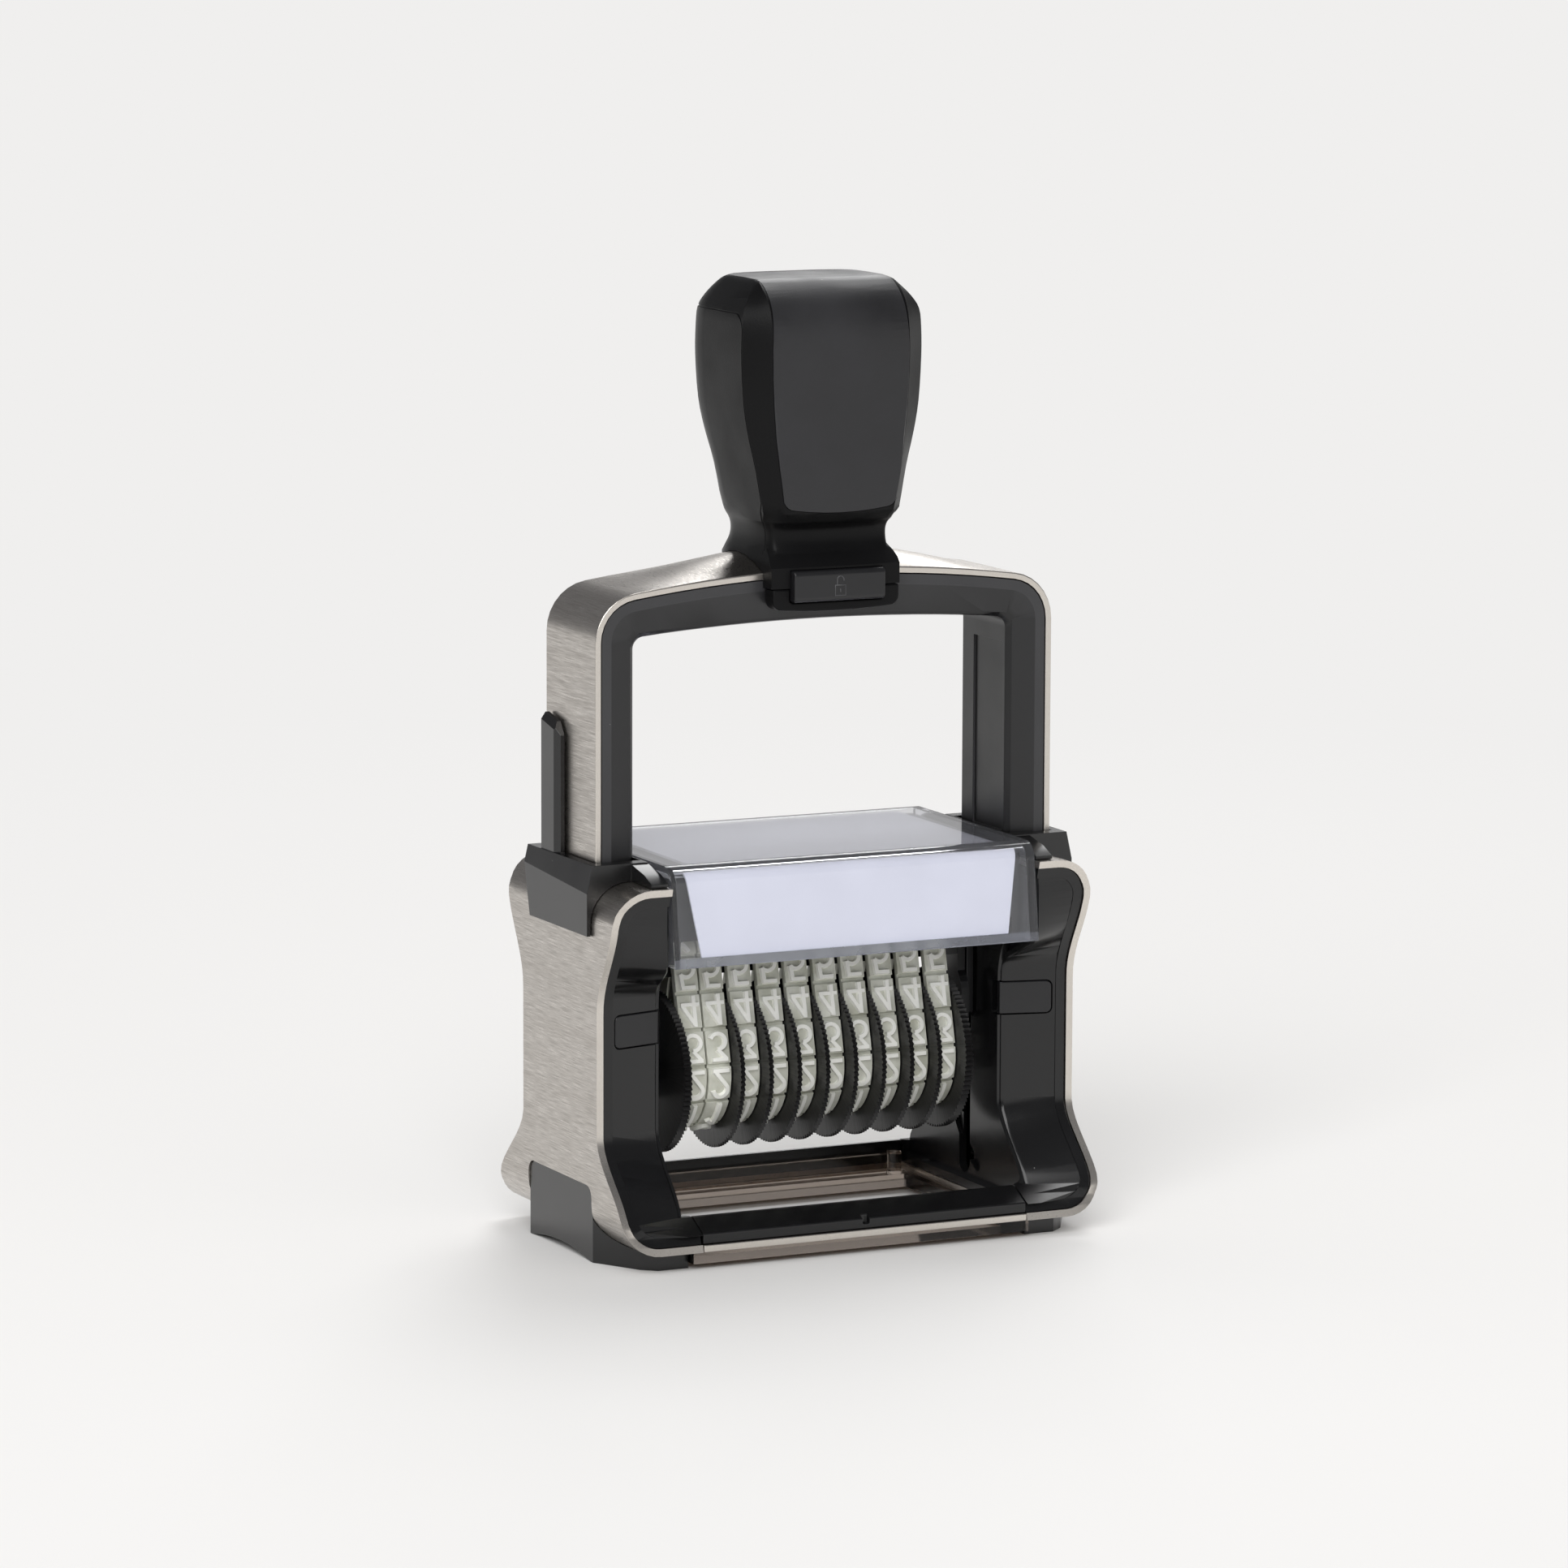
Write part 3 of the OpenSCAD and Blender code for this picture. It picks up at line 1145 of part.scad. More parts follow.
// Setting wheel: drum inside the band and a toothed disc beside it
function toothed(r, n, h) =
    [for (i = [0:2 * n - 1]) let (q = i % 2 == 0 ? r : r - h, a = 180 * i / n) [q * cos(a), q * sin(a)]];
module setting_wheel(k) {
    drum_x = band_x(k);
    t = k == 1 || k == wheel_count ? end_disc_t : disc_t;
    disc_x = k > 1 ? drum_x + band_w + band_gap : drum_x - band_gap - t;
    low = k > 1 ? drum_x : disc_x + t / 2;
    high = k > 1 ? disc_x + t / 2 : drum_x + band_w;
    color("#1e1e20") difference() {
        union() {
            rod(low, high, 0, wheel_z, 2 * drum_r);
            translate([disc_x, 0, wheel_z]) rotate([90, 0, 90]) linear_extrude(t)
                polygon(toothed(wheel_r, wheel_teeth, tooth_h));
        }
        rod(disc_x - band_w - 2, disc_x + band_w + 3, 0, wheel_z, axle_d + 2 * run_gap);
    }
}

handle_grip();
grip_inlay();
lock_housing();
lock_button();
arch_strap();
arch_frame();
yoke_arm_left();
yoke_arm_right();
trunnion_left();
trunnion_right();
return_spring_left();
return_spring_right();
body_strap_left();
body_strap_right();
sill_strips();
cheek_left();
cheek_right();
front_rail();
rear_rail();
collar_left();
collar_right();
foot_left();
foot_right();
base_frame();
release_button_left();
release_button_right();
window_cover();
index_card();
top_card();
pad_tray();
ink_pad();
carriage_left();
carriage_right();
cam_pin_left();
cam_pin_right();
platen();
wheel_axle();
for (k = [1:wheel_count]) {
    number_band(k);
    setting_wheel(k);
}
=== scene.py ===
"""Looks of the self-inking number stamp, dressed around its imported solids.

Each sub-assembly is a class that softens the edges of its moulded and bent pieces, adds the small forms
that the solids leave out, and gives every piece its finish. Lengths in the classes are in millimetres.
"""

import logging
import math
from contextlib import contextmanager
from dataclasses import dataclass, field
from enum import Enum
from typing import Callable, Dict, Iterator, List, Optional, Sequence, Tuple, Union

import bpy
from mathutils import Matrix, Vector
from mathutils.bvhtree import BVHTree


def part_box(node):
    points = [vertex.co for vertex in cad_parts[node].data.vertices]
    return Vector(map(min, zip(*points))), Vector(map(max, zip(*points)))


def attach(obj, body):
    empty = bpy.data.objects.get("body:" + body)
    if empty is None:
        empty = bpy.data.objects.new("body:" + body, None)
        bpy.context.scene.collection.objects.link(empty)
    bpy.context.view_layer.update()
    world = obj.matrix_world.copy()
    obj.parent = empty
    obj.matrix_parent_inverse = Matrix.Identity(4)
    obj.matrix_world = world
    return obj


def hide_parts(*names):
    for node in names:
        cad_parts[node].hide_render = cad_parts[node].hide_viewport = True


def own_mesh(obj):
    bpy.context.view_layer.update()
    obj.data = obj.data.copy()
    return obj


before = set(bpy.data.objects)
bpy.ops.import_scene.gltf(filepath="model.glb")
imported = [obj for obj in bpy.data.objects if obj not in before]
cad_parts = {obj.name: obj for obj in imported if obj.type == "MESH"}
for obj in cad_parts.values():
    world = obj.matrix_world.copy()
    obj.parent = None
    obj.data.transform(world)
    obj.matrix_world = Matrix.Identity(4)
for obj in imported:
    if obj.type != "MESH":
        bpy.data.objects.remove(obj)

LOG = logging.getLogger("number_stamp")
MM = 0.001
SIDES = ("left", "right")
JOIN_MM = 0.002
FLAT_DEG = 0.4
LOFT_FLAT_DEG = 0.02
QUAD_DEG = 35.0
QUAD_SHAPE_DEG = 170.0
EVEN_WEIGHT = 60
FIGURE_BOX = 0.62
PALE = (240, 239, 238)

Object = bpy.types.Object
Material = bpy.types.Material
Node = bpy.types.Node
Socket = bpy.types.NodeSocket
Tree = bpy.types.NodeTree
Colour = Tuple[float, float, float, float]
Display = Tuple[int, int, int]
Point2 = Tuple[float, float]
Point3 = Tuple[float, float, float]


class Rides(Enum):
    """Bodies that the dressed pieces move with."""

    BASE = "base"
    HANDLE = "handle_unit"
    LOCK = "lock"
    NUMBERS = "number_unit"
    CARTRIDGE = "pad_cartridge"


class Slot(Enum):
    """Material slots of the record."""

    STEEL = "steel"
    BLACK = "black_plastic"
    GLOSS = "gloss_black"
    CHARCOAL = "charcoal"
    CLEAR = "clear"
    SMOKY = "smoky_clear"
    CREAM = "cream_band"
    PAD = "pad"
    PIN = "pin_steel"


def tone(red: int, green: int, blue: int) -> Colour:
    """Turn a display colour of 0 to 255 into a linear colour.

    Args:
        red: Red, from 0 to 255.
        green: Green, from 0 to 255.
        blue: Blue, from 0 to 255.

    Returns:
        The linear colour with full alpha.
    """

    def linear(value: int) -> float:
        """Linear share of one display value."""
        v = value / 255
        return v / 12.92 if v <= 0.04045 else ((v + 0.055) / 1.055) ** 2.4

    return (linear(red), linear(green), linear(blue), 1.0)


def deselect() -> None:
    """Deselect every object."""
    bpy.ops.object.select_all(action="DESELECT")


def pick(obj: Object) -> None:
    """Make one object the only selected and active one.

    Args:
        obj: The object.
    """
    deselect()
    obj.select_set(True)
    bpy.context.view_layer.objects.active = obj


def stand(name: str, data: bpy.types.ID) -> Object:
    """Put new data into the scene.

    Args:
        name: Name of the object.
        data: Its mesh, curve, lamp or camera.

    Returns:
        The object.
    """
    obj = bpy.data.objects.new(name, data)
    bpy.context.scene.collection.objects.link(obj)
    return obj


def to_mesh(drawn: Object) -> Object:
    """Turn a curve into a mesh.

    Args:
        drawn: The curve's object.

    Returns:
        The mesh object.
    """
    pick(drawn)
    bpy.ops.object.convert(target="MESH")
    return bpy.context.view_layer.objects.active


def modify(obj: Object, kind: str, **settings: object) -> None:
    """Add a modifier to the active object and apply it.

    Args:
        obj: The active object.
        kind: Type of the modifier.
        settings: Values of the modifier.
    """
    modifier = obj.modifiers.new(kind.lower(), kind)
    for name, value in settings.items():
        setattr(modifier, name, value)
    bpy.ops.object.modifier_apply(modifier=modifier.name)


@contextmanager
def editing(select: str = "", mode: str = "") -> Iterator[None]:
    """Work on the active mesh in edit mode.

    Args:
        select: SELECT or DESELECT, where all or nothing is selected first.
        mode: VERT, EDGE or FACE, where the kind of selection changes first.
    """
    bpy.ops.object.mode_set(mode="EDIT")
    if mode:
        bpy.ops.mesh.select_mode(type=mode)
    if select:
        bpy.ops.mesh.select_all(action=select)
    yield
    bpy.ops.object.mode_set(mode="OBJECT")


class Graph:
    """A node tree under construction, with short ways to add and join nodes."""

    def __init__(self, tree: Tree) -> None:
        """Take up a tree.

        Args:
            tree: Tree that gets the nodes.
        """
        self.tree = tree

    def link(self, source: Socket, target: Socket) -> None:
        """Join two sockets.

        Args:
            source: Output of a node.
            target: Input of another node.
        """
        self.tree.links.new(source, target)

    @staticmethod
    def preset(node: Node, **values: object) -> Node:
        """Give inputs of a node their values.

        Args:
            node: The node.
            values: Input values, with _ for a space in a name.

        Returns:
            The node.
        """
        for label, value in values.items():
            node.inputs[label.replace("_", " ")].default_value = value
        return node

    def add(self, kind: str, **values: object) -> Node:
        """Add a node.

        Args:
            kind: Type of the node, without the ShaderNode in front.
            values: Input values, with _ for a space in a name.

        Returns:
            The node.
        """
        return self.preset(self.tree.nodes.new(f"ShaderNode{kind}"), **values)

    def group(self, tree: Tree, **values: float) -> Node:
        """Place a shared effect.

        Args:
            tree: The effect's node group.
            values: Input values, with _ for a space in a name.

        Returns:
            The group node.
        """
        node = self.add("Group")
        node.node_tree = tree
        return self.preset(node, **values)

    def math(self, operation: str, *values: Socket) -> Socket:
        """Work out a number from others.

        Args:
            operation: Operation of the Math node.
            values: Sockets of the numbers.

        Returns:
            The result.
        """
        node = self.add("Math")
        node.operation = operation
        for value, target in zip(values, node.inputs):
            self.link(value, target)
        return node.outputs[0]

    def axis(self, output: str, name: str) -> Socket:
        """One component of a texture coordinate.

        Args:
            output: Object, Normal or Generated.
            name: X, Y or Z.

        Returns:
            The component's socket.
        """
        split = self.add("SeparateXYZ")
        self.link(self.add("TexCoord").outputs[output], split.inputs[0])
        return split.outputs[name]

    def spread(self, value: Socket, low: float, high: float, start: float = 0.3, stop: float = 0.7,
               eased: bool = False) -> Socket:
        """Map a value to a range.

        Args:
            value: The value.
            low: Result at start and below.
            high: Result at stop and above.
            start: Lower end of the value.
            stop: Upper end of the value.
            eased: Whether the ends of the range are smooth.

        Returns:
            The mapped value.
        """
        node = self.add("MapRange")
        if eased:
            node.interpolation_type = "SMOOTHSTEP"
        self.preset(node, From_Min=start, From_Max=stop, To_Min=low, To_Max=high)
        self.link(value, node.inputs["Value"])
        return node.outputs["Result"]

    def mix(self, share: Socket, low: Union[Colour, Socket], high: Colour) -> Socket:
        """Lay a colour over another one by a mask.

        Args:
            share: Mask from 0 to 1.
            low: Colour below, plain or from a socket.
            high: Colour on top.

        Returns:
            The blended colour.
        """
        node = self.add("Mix")
        node.data_type = "RGBA"
        self.link(share, node.inputs["Factor"])
        if isinstance(low, Socket):
            self.link(low, node.inputs["A"])
        else:
            node.inputs["A"].default_value = low
        node.inputs["B"].default_value = high
        return node.outputs["Result"]

    def blend(self, share: Socket, first: Node, second: Node, out: Node) -> None:
        """Mix two shaders by a mask and show the result.

        Args:
            share: Mask from 0 to 1.
            first: Shader where the mask is 0.
            second: Shader where the mask is 1.
            out: Output node of the tree.
        """
        both = self.add("MixShader")
        for source, target in zip((share, first.outputs[0], second.outputs[0]), both.inputs):
            self.link(source, target)
        self.link(both.outputs[0], out.inputs["Surface"])


class Effects:
    """Shader node groups that several finishes share."""

    @staticmethod
    def _start(name: str, inputs: Dict[str, float], outputs: Sequence[str]) -> Tuple[Tree, bool]:
        """Fetch a group or make it with its sockets.

        Args:
            name: Name of the group.
            inputs: Float inputs and their default values.
            outputs: Names of the float outputs.

        Returns:
            The group, and whether it still has to be filled.
        """
        known = bpy.data.node_groups.get(name)
        if known:
            return known, False
        tree = bpy.data.node_groups.new(name, "ShaderNodeTree")
        for label, value in inputs.items():
            socket = tree.interface.new_socket(name=label, in_out="INPUT", socket_type="NodeSocketFloat")
            socket.default_value = value
        for label in outputs:
            tree.interface.new_socket(name=label, in_out="OUTPUT", socket_type="NodeSocketFloat")
        return tree, True

    @classmethod
    def mould_grain(cls) -> Tree:
        """Fine grain of a spark-eroded mould, with broad cloudy wear.

        Returns:
            A group with the outputs Grain and Cloud.
        """
        scales = {"Grain Scale": 4000.0, "Cloud Scale": 60.0}
        tree, fresh = cls._start("mould_grain", scales, ("Grain", "Cloud"))
        if fresh:
            g = Graph(tree)
            given, out = tree.nodes.new("NodeGroupInput"), tree.nodes.new("NodeGroupOutput")
            place = g.add("TexCoord")
            for label, detail in (("Grain", 2.0), ("Cloud", 5.0)):
                noise = g.add("TexNoise", Detail=detail)
                g.link(place.outputs["Object"], noise.inputs["Vector"])
                g.link(given.outputs[f"{label} Scale"], noise.inputs["Scale"])
                g.link(noise.outputs["Fac"], out.inputs[label])
        return tree

    @classmethod
    def brushed(cls) -> Tree:
        """Brush marks that run from front to back.

        Returns:
            A group with the outputs Streak, Haze and Rim; Rim marks the cut edges that face front and rear, which
            the steel paints with a highlight.
        """
        tree, fresh = cls._start("brushed", {"Scale": 6000.0, "Length": 60.0}, ("Streak", "Haze", "Rim"))
        if fresh:
            g = Graph(tree)
            given, out = tree.nodes.new("NodeGroupInput"), tree.nodes.new("NodeGroupOutput")
            join = g.add("CombineXYZ")
            g.link(g.axis("Object", "X"), join.inputs["X"])
            g.link(g.math("DIVIDE", g.axis("Object", "Y"), given.outputs["Length"]), join.inputs["Y"])
            g.link(g.axis("Object", "Z"), join.inputs["Z"])
            streak = g.add("TexNoise", Detail=3.0, Roughness=0.65)
            g.link(given.outputs["Scale"], streak.inputs["Scale"])
            haze = g.add("TexNoise", Scale=420.0, Detail=4.0)
            for label, noise in (("Streak", streak), ("Haze", haze)):
                g.link(join.outputs[0], noise.inputs["Vector"])
                g.link(noise.outputs["Fac"], out.inputs[label])
            front = g.math("ABSOLUTE", g.axis("Normal", "Y"))
            g.link(g.spread(front, 0.0, 1.0, 0.45, 0.85, eased=True), out.inputs["Rim"])
        return tree

    @classmethod
    def specks(cls) -> Tree:
        """Sparse specks of dust.

        Returns:
            A group with the output Dust.
        """
        tree, fresh = cls._start("specks", {"Scale": 420.0, "Amount": 0.06}, ("Dust",))
        if fresh:
            g = Graph(tree)
            given, out = tree.nodes.new("NodeGroupInput"), tree.nodes.new("NodeGroupOutput")
            cells = g.add("TexVoronoi", Randomness=1.0)
            g.link(g.add("TexCoord").outputs["Object"], cells.inputs["Vector"])
            g.link(given.outputs["Scale"], cells.inputs["Scale"])
            near = g.math("LESS_THAN", cells.outputs["Distance"], given.outputs["Amount"])
            g.link(near, out.inputs["Dust"])
        return tree


class Recipe(Graph):
    """A material under construction."""

    def __init__(self, name: str) -> None:
        """Start a material with a lone Principled shader.

        Args:
            name: Name of the material.
        """
        self.material = bpy.data.materials.new(name)
        self.material.use_nodes = True
        super().__init__(self.material.node_tree)
        self.shader = self.tree.nodes["Principled BSDF"]
        self.out = self.tree.nodes["Material Output"]

    def feed(self, label: str, source: Socket) -> None:
        """Join a socket to an input of the shader.

        Args:
            label: Name of the input.
            source: The socket.
        """
        self.link(source, self.shader.inputs[label])

    def clouds(self, grain_scale: float, cloud_scale: float) -> Tuple[Socket, Socket]:
        """Place the grain that most finishes have.

        Args:
            grain_scale: Fineness of the grain.
            cloud_scale: Fineness of the clouds.

        Returns:
            The sockets of the grain and of the clouds.
        """
        node = self.group(Effects.mould_grain(), Grain_Scale=grain_scale, Cloud_Scale=cloud_scale)
        return node.outputs["Grain"], node.outputs["Cloud"]

    def bump(self, height: Socket, depth_mm: float, strength: float) -> None:
        """Raise the surface by a height map of a real depth.

        Args:
            height: The height map.
            depth_mm: Its full height.
            strength: Share of it that shows.
        """
        node = self.add("Bump", Distance=depth_mm * MM, Strength=strength)
        self.link(height, node.inputs["Height"])
        self.feed("Normal", node.outputs["Normal"])


@dataclass(frozen=True)
class Finish:
    """What a surface looks like."""

    name: str

    def make(self) -> Material:
        """Build the material.

        Returns:
            The material.
        """
        r = Recipe(self.name)
        self.fill(r)
        return r.material

    def fill(self, r: Recipe) -> None:
        """Add the look to a new material.

        Args:
            r: The material under construction.
        """
        raise NotImplementedError


@dataclass(frozen=True)
class MouldedPlastic(Finish):
    """Moulded plastic with a fine grain, cloudy gloss, a little dust, and painted shade where it is given."""

    colour: Display
    worn: Display
    roughness: float
    play: float = 0.06
    grain_mm: float = 0.012
    specular: float = 0.5
    dust: float = 0.012
    grain_scale: float = 4200.0
    dust_tone: Display = (150, 150, 148)
    # colour of the painted shade on faces that turn away from front and rear, and the range of that turn
    painted_shade: Optional[Display] = None
    painted_shade_turn: Tuple[float, float] = (0.955, 0.99)

    def fill(self, r: Recipe) -> None:
        """Add the plastic, with painted shade on faces that turn away from front and rear.

        Args:
            r: The material under construction.
        """
        grain, cloud = r.clouds(self.grain_scale, 70.0)
        base = r.mix(r.spread(cloud, 0.0, 1.0), tone(*self.colour), tone(*self.worn))
        if self.painted_shade:
            # painted shade: faces that turn away from front and rear, such as the sloped inner band of the arch's
            # frame, get a darker colour as if in shadow
            front = r.math("ABSOLUTE", r.axis("Normal", "Y"))
            base = r.mix(r.spread(front, 1.0, 0.0, *self.painted_shade_turn), base, tone(*self.painted_shade))
        dust = r.group(Effects.specks(), Scale=150.0, Amount=self.dust)
        r.feed("Base Color", r.mix(dust.outputs["Dust"], base, tone(*self.dust_tone)))
        r.feed("Roughness", r.spread(cloud, self.roughness - self.play, self.roughness + self.play))
        r.preset(r.shader, Specular_IOR_Level=self.specular)
        r.bump(grain, self.grain_mm, 0.5)


@dataclass(frozen=True)
class BrushedSteel(Finish):
    """Stainless steel brushed from front to back, with a highlight painted onto its cut edges."""

    dark: Display = (164, 159, 153)
    light: Display = (208, 203, 197)
    dull: Display = (168, 162, 155)
    # edge: lighter steel tone of the highlight painted onto the cut edges
    edge: Display = (232, 226, 217)
    roughness: float = 0.3

    def fill(self, r: Recipe) -> None:
        """Add the steel.

        Args:
            r: The material under construction.
        """
        brush = r.group(Effects.brushed(), Scale=5200.0, Length=26.0)
        streak, haze, rim_highlight = (brush.outputs[label] for label in ("Streak", "Haze", "Rim"))
        base = r.mix(r.spread(streak, 0.0, 1.0), tone(*self.dark), tone(*self.light))
        base = r.mix(r.spread(haze, 0.0, 0.4, 0.45, 0.75), base, tone(*self.dull))
        # painted highlight: the cut edges that face front and rear are mixed towards the lighter edge tone
        r.feed("Base Color", r.mix(r.spread(rim_highlight, 0.0, 0.6, 0.0, 1.0), base, tone(*self.edge)))
        r.feed("Roughness", r.spread(streak, self.roughness + 0.08, self.roughness - 0.05))
        r.preset(r.shader, Metallic=1.0)
        r.bump(streak, 0.008, 0.4)


@dataclass(frozen=True)
class ClearPlastic(Finish):
    """Clear or smoky plastic with polished faces that lets the light through to what lies behind it."""

    colour: Display
    roughness: float
    clearness: float
    index: float

    def fill(self, r: Recipe) -> None:
        """Add the plastic.

        Args:
            r: The material under construction.
        """
        cloud = r.clouds(900.0, 40.0)[1]
        r.feed("Roughness", r.spread(cloud, self.roughness * 0.5, self.roughness * 1.6))
        colour = tone(*self.colour)
        r.preset(r.shader, Base_Color=colour, IOR=self.index, Transmission_Weight=self.clearness)
        ways = r.add("LightPath")
        soft = r.math("MAXIMUM", ways.outputs["Is Shadow Ray"], ways.outputs["Is Diffuse Ray"])
        r.blend(soft, r.shader, r.add("BsdfTransparent", Color=colour), r.out)


@dataclass(frozen=True)
class Grained(Finish):
    """Card, rubber, foam or ground steel: two tones in clouds, or in the grain where it is fibrous."""

    dark: Display
    light: Display
    scales: Tuple[float, float]
    roughness: Tuple[float, float]
    relief_mm: float = 0.01
    strength: float = 0.4
    metallic: float = 0.0
    fibrous: bool = False

    def fill(self, r: Recipe) -> None:
        """Add the two tones, the gloss and the relief.

        Args:
            r: The material under construction.
        """
        grain, cloud = r.clouds(*self.scales)
        colour, gloss = (grain, cloud) if self.fibrous else (cloud, grain)
        r.feed("Base Color", r.mix(r.spread(colour, 0.0, 1.0), tone(*self.dark), tone(*self.light)))
        r.feed("Roughness", r.spread(gloss, *self.roughness))
        r.preset(r.shader, Metallic=self.metallic)
        if self.relief_mm:
            r.bump(grain, self.relief_mm, self.strength)


@dataclass(frozen=True)
class WheelPlastic(Finish):
    """Black plastic of the setting wheels with grey wear that runs out to the teeth."""

    centre_z: float
    dark: Display = (13, 13, 14)
    worn: Display = (30, 29, 29)

    def fill(self, r: Recipe) -> None:
        """Add the plastic.

        Args:
            r: The material under construction.
        """
        move = r.add("Mapping", Location=(0.0, 0.0, -self.centre_z * MM))
        r.link(r.add("TexCoord").outputs["Object"], move.inputs["Vector"])
        split = r.add("SeparateXYZ")
        r.link(move.outputs["Vector"], split.inputs[0])
        spokes = r.add("TexNoise", Scale=42.0, Detail=4.0)
        spokes.noise_dimensions = "1D"
        r.link(r.math("ARCTAN2", split.outputs["Y"], split.outputs["Z"]), spokes.inputs["W"])
        wear = spokes.outputs["Fac"]
        r.feed("Base Color", r.mix(r.spread(wear, 0.0, 1.0, 0.35, 0.75), tone(*self.dark), tone(*self.worn)))
        r.feed("Roughness", r.spread(wear, 0.42, 0.3))
        r.bump(r.clouds(3600.0, 150.0)[0], 0.012, 0.4)


def made(finish: Finish) -> Material:
    """Field for a material that is built together with the others.

    Args:
        finish: What the material looks like.

    Returns:
        The field.
    """
    return field(default_factory=finish.make)


@dataclass
class Finishes:
    """Every finish of the stamp, made once."""

    steel: Material = made(BrushedSteel("brushed_steel"))
    satin: Material = made(MouldedPlastic("satin_black", (20, 20, 21), (27, 27, 28), 0.4))
    # frame_black paints shade onto its faces that turn away from front and rear
    frame_black: Material = made(MouldedPlastic("frame_black", (50, 50, 52), (56, 56, 58), 0.34, 0.06, 0.01,
                                                painted_shade=(14, 14, 15)))
    gloss: Material = made(MouldedPlastic("gloss_black", (13, 13, 14), (18, 18, 19), 0.22, 0.05, 0.006))
    polished: Material = made(MouldedPlastic("polished_black", (12, 12, 13), (17, 17, 18), 0.23, 0.04, 0.004,
                                             0.65))
    soft_touch: Material = made(MouldedPlastic("soft_touch", (10, 10, 11), (14, 14, 15), 0.42, 0.08, 0.035, 0.15))
    charcoal: Material = made(MouldedPlastic("charcoal_panel", (29, 29, 31), (38, 38, 41), 0.44, 0.1, 0.035))
    button: Material = made(MouldedPlastic("button_black", (20, 20, 22), (26, 26, 28), 0.34, 0.07, 0.008))
    sign: Material = made(MouldedPlastic("sign_black", (62, 62, 64), (70, 70, 72), 0.3, 0.05, 0.004))
    clear: Material = made(ClearPlastic("clear_cover", (246, 247, 251), 0.02, 0.97, 1.42))
    frosted: Material = made(ClearPlastic("frosted_border", (206, 209, 219), 0.26, 0.86, 1.42))
    smoky: Material = made(ClearPlastic("smoky_frame", (176, 164, 154), 0.05, 1.0, 1.4))
    card: Material = made(Grained("index_white", (229, 229, 235), (236, 236, 242), (2600.0, 120.0), (0.75, 0.75)))
    top_card: Material = made(Grained("top_pale", (205, 204, 208), (212, 211, 215), (2600.0, 120.0), (0.75, 0.75)))
    # cream: the band's darker tone, laid in clouds, is painted shade standing in for the hollow ground between the
    # figures
    cream: Material = made(Grained("cream_rubber_with_painted_shade", (184, 185, 170), (224, 225, 215), (3400.0, 260.0),
                                   (0.42, 0.58)))
    # figure: the band's own rubber, painted lighter as the lit tops of the raised figures
    figure: Material = made(Grained("figure_cream_painted_light", (243, 243, 236), (250, 250, 244), (3400.0, 260.0),
                                    (0.42, 0.58)))
    wheel: Material = made(WheelPlastic("wheel_black", 28.5))
    pad: Material = made(Grained("inked_pad", (16, 16, 26), (34, 34, 50), (1500.0, 200.0), (0.55, 0.85), 0.08, 0.8,
                                 fibrous=True))
    pin: Material = made(Grained("pin_steel", (168, 166, 163), (205, 203, 200), (2800.0, 320.0), (0.2, 0.36), 0.0,
                                 metallic=1.0))


@dataclass
class SubAssembly:
    """Pieces that belong together, with the ways to dress them."""

    finishes: Finishes

    def soften(self, node: str, body: str, finish: Material, slot: Slot, edge_mm: float, segments: int = 2,
               limit: float = 30.0, lofted: bool = False, smooth: float = 34.0,
               shape: Optional[Callable[[Object], None]] = None) -> Object:
        """Stand a copy of a solid with rounded edges in the solid's place.

        Args:
            node: The solid's node.
            body: Body that it rides on.
            finish: Its material.
            slot: Not used; it is handed on to settle, which does not use it either.
            edge_mm: Width of the rounded edges.
            segments: Steps in a rounded edge.
            limit: Least angle in degrees of an edge that is rounded.
            lofted: Whether the solid has twisted faces, which are then kept as quads.
            smooth: Greatest angle in degrees of an edge that is shaded smooth.
            shape: Work on the mesh that comes before its edges are rounded.

        Returns:
            The new piece.
        """
        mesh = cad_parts[node].data.copy()
        mesh.materials.clear()
        piece = stand(f"{node}_shaped", mesh)
        pick(piece)
        with editing("SELECT"):
            bpy.ops.mesh.customdata_custom_splitnormals_clear()
            bpy.ops.mesh.remove_doubles(threshold=JOIN_MM * MM)
            flat = math.radians(LOFT_FLAT_DEG if lofted else FLAT_DEG)
            bpy.ops.mesh.dissolve_limited(angle_limit=flat, delimit=set())
            if lofted:
                bpy.ops.mesh.tris_convert_to_quads(face_threshold=math.radians(QUAD_DEG),
                                                   shape_threshold=math.radians(QUAD_SHAPE_DEG))
        if shape:
            shape(piece)
        if edge_mm > 0:
            modify(piece, "BEVEL", width=edge_mm * MM, segments=segments, limit_method="ANGLE",
                   angle_limit=math.radians(limit), use_clamp_overlap=True, miter_outer="MITER_ARC")
        bpy.ops.object.shade_smooth_by_angle(angle=math.radians(smooth))
        modify(piece, "WEIGHTED_NORMAL", keep_sharp=True, weight=EVEN_WEIGHT)
        piece.data.materials.append(finish)
        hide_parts(node)
        return self.settle(piece, body, slot)

    def paint(self, node: str, finish: Material) -> None:
        """Give a solid that stays as it is a finish.

        Args:
            node: The solid's node.
            finish: Its material.
        """
        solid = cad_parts[node]
        solid.data.materials.clear()
        solid.data.materials.append(finish)
        LOG.info("painted %s", node)

    def settle(self, piece: Object, body: str, slot: Slot) -> Object:
        """Put a finished piece on its body.

        Args:
            piece: The piece.
            body: Body that it rides on.
            slot: Not used.

        Returns:
            The piece.
        """
        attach(piece, body)
        LOG.info("%s: %d faces", piece.name, len(piece.data.polygons))
        return piece


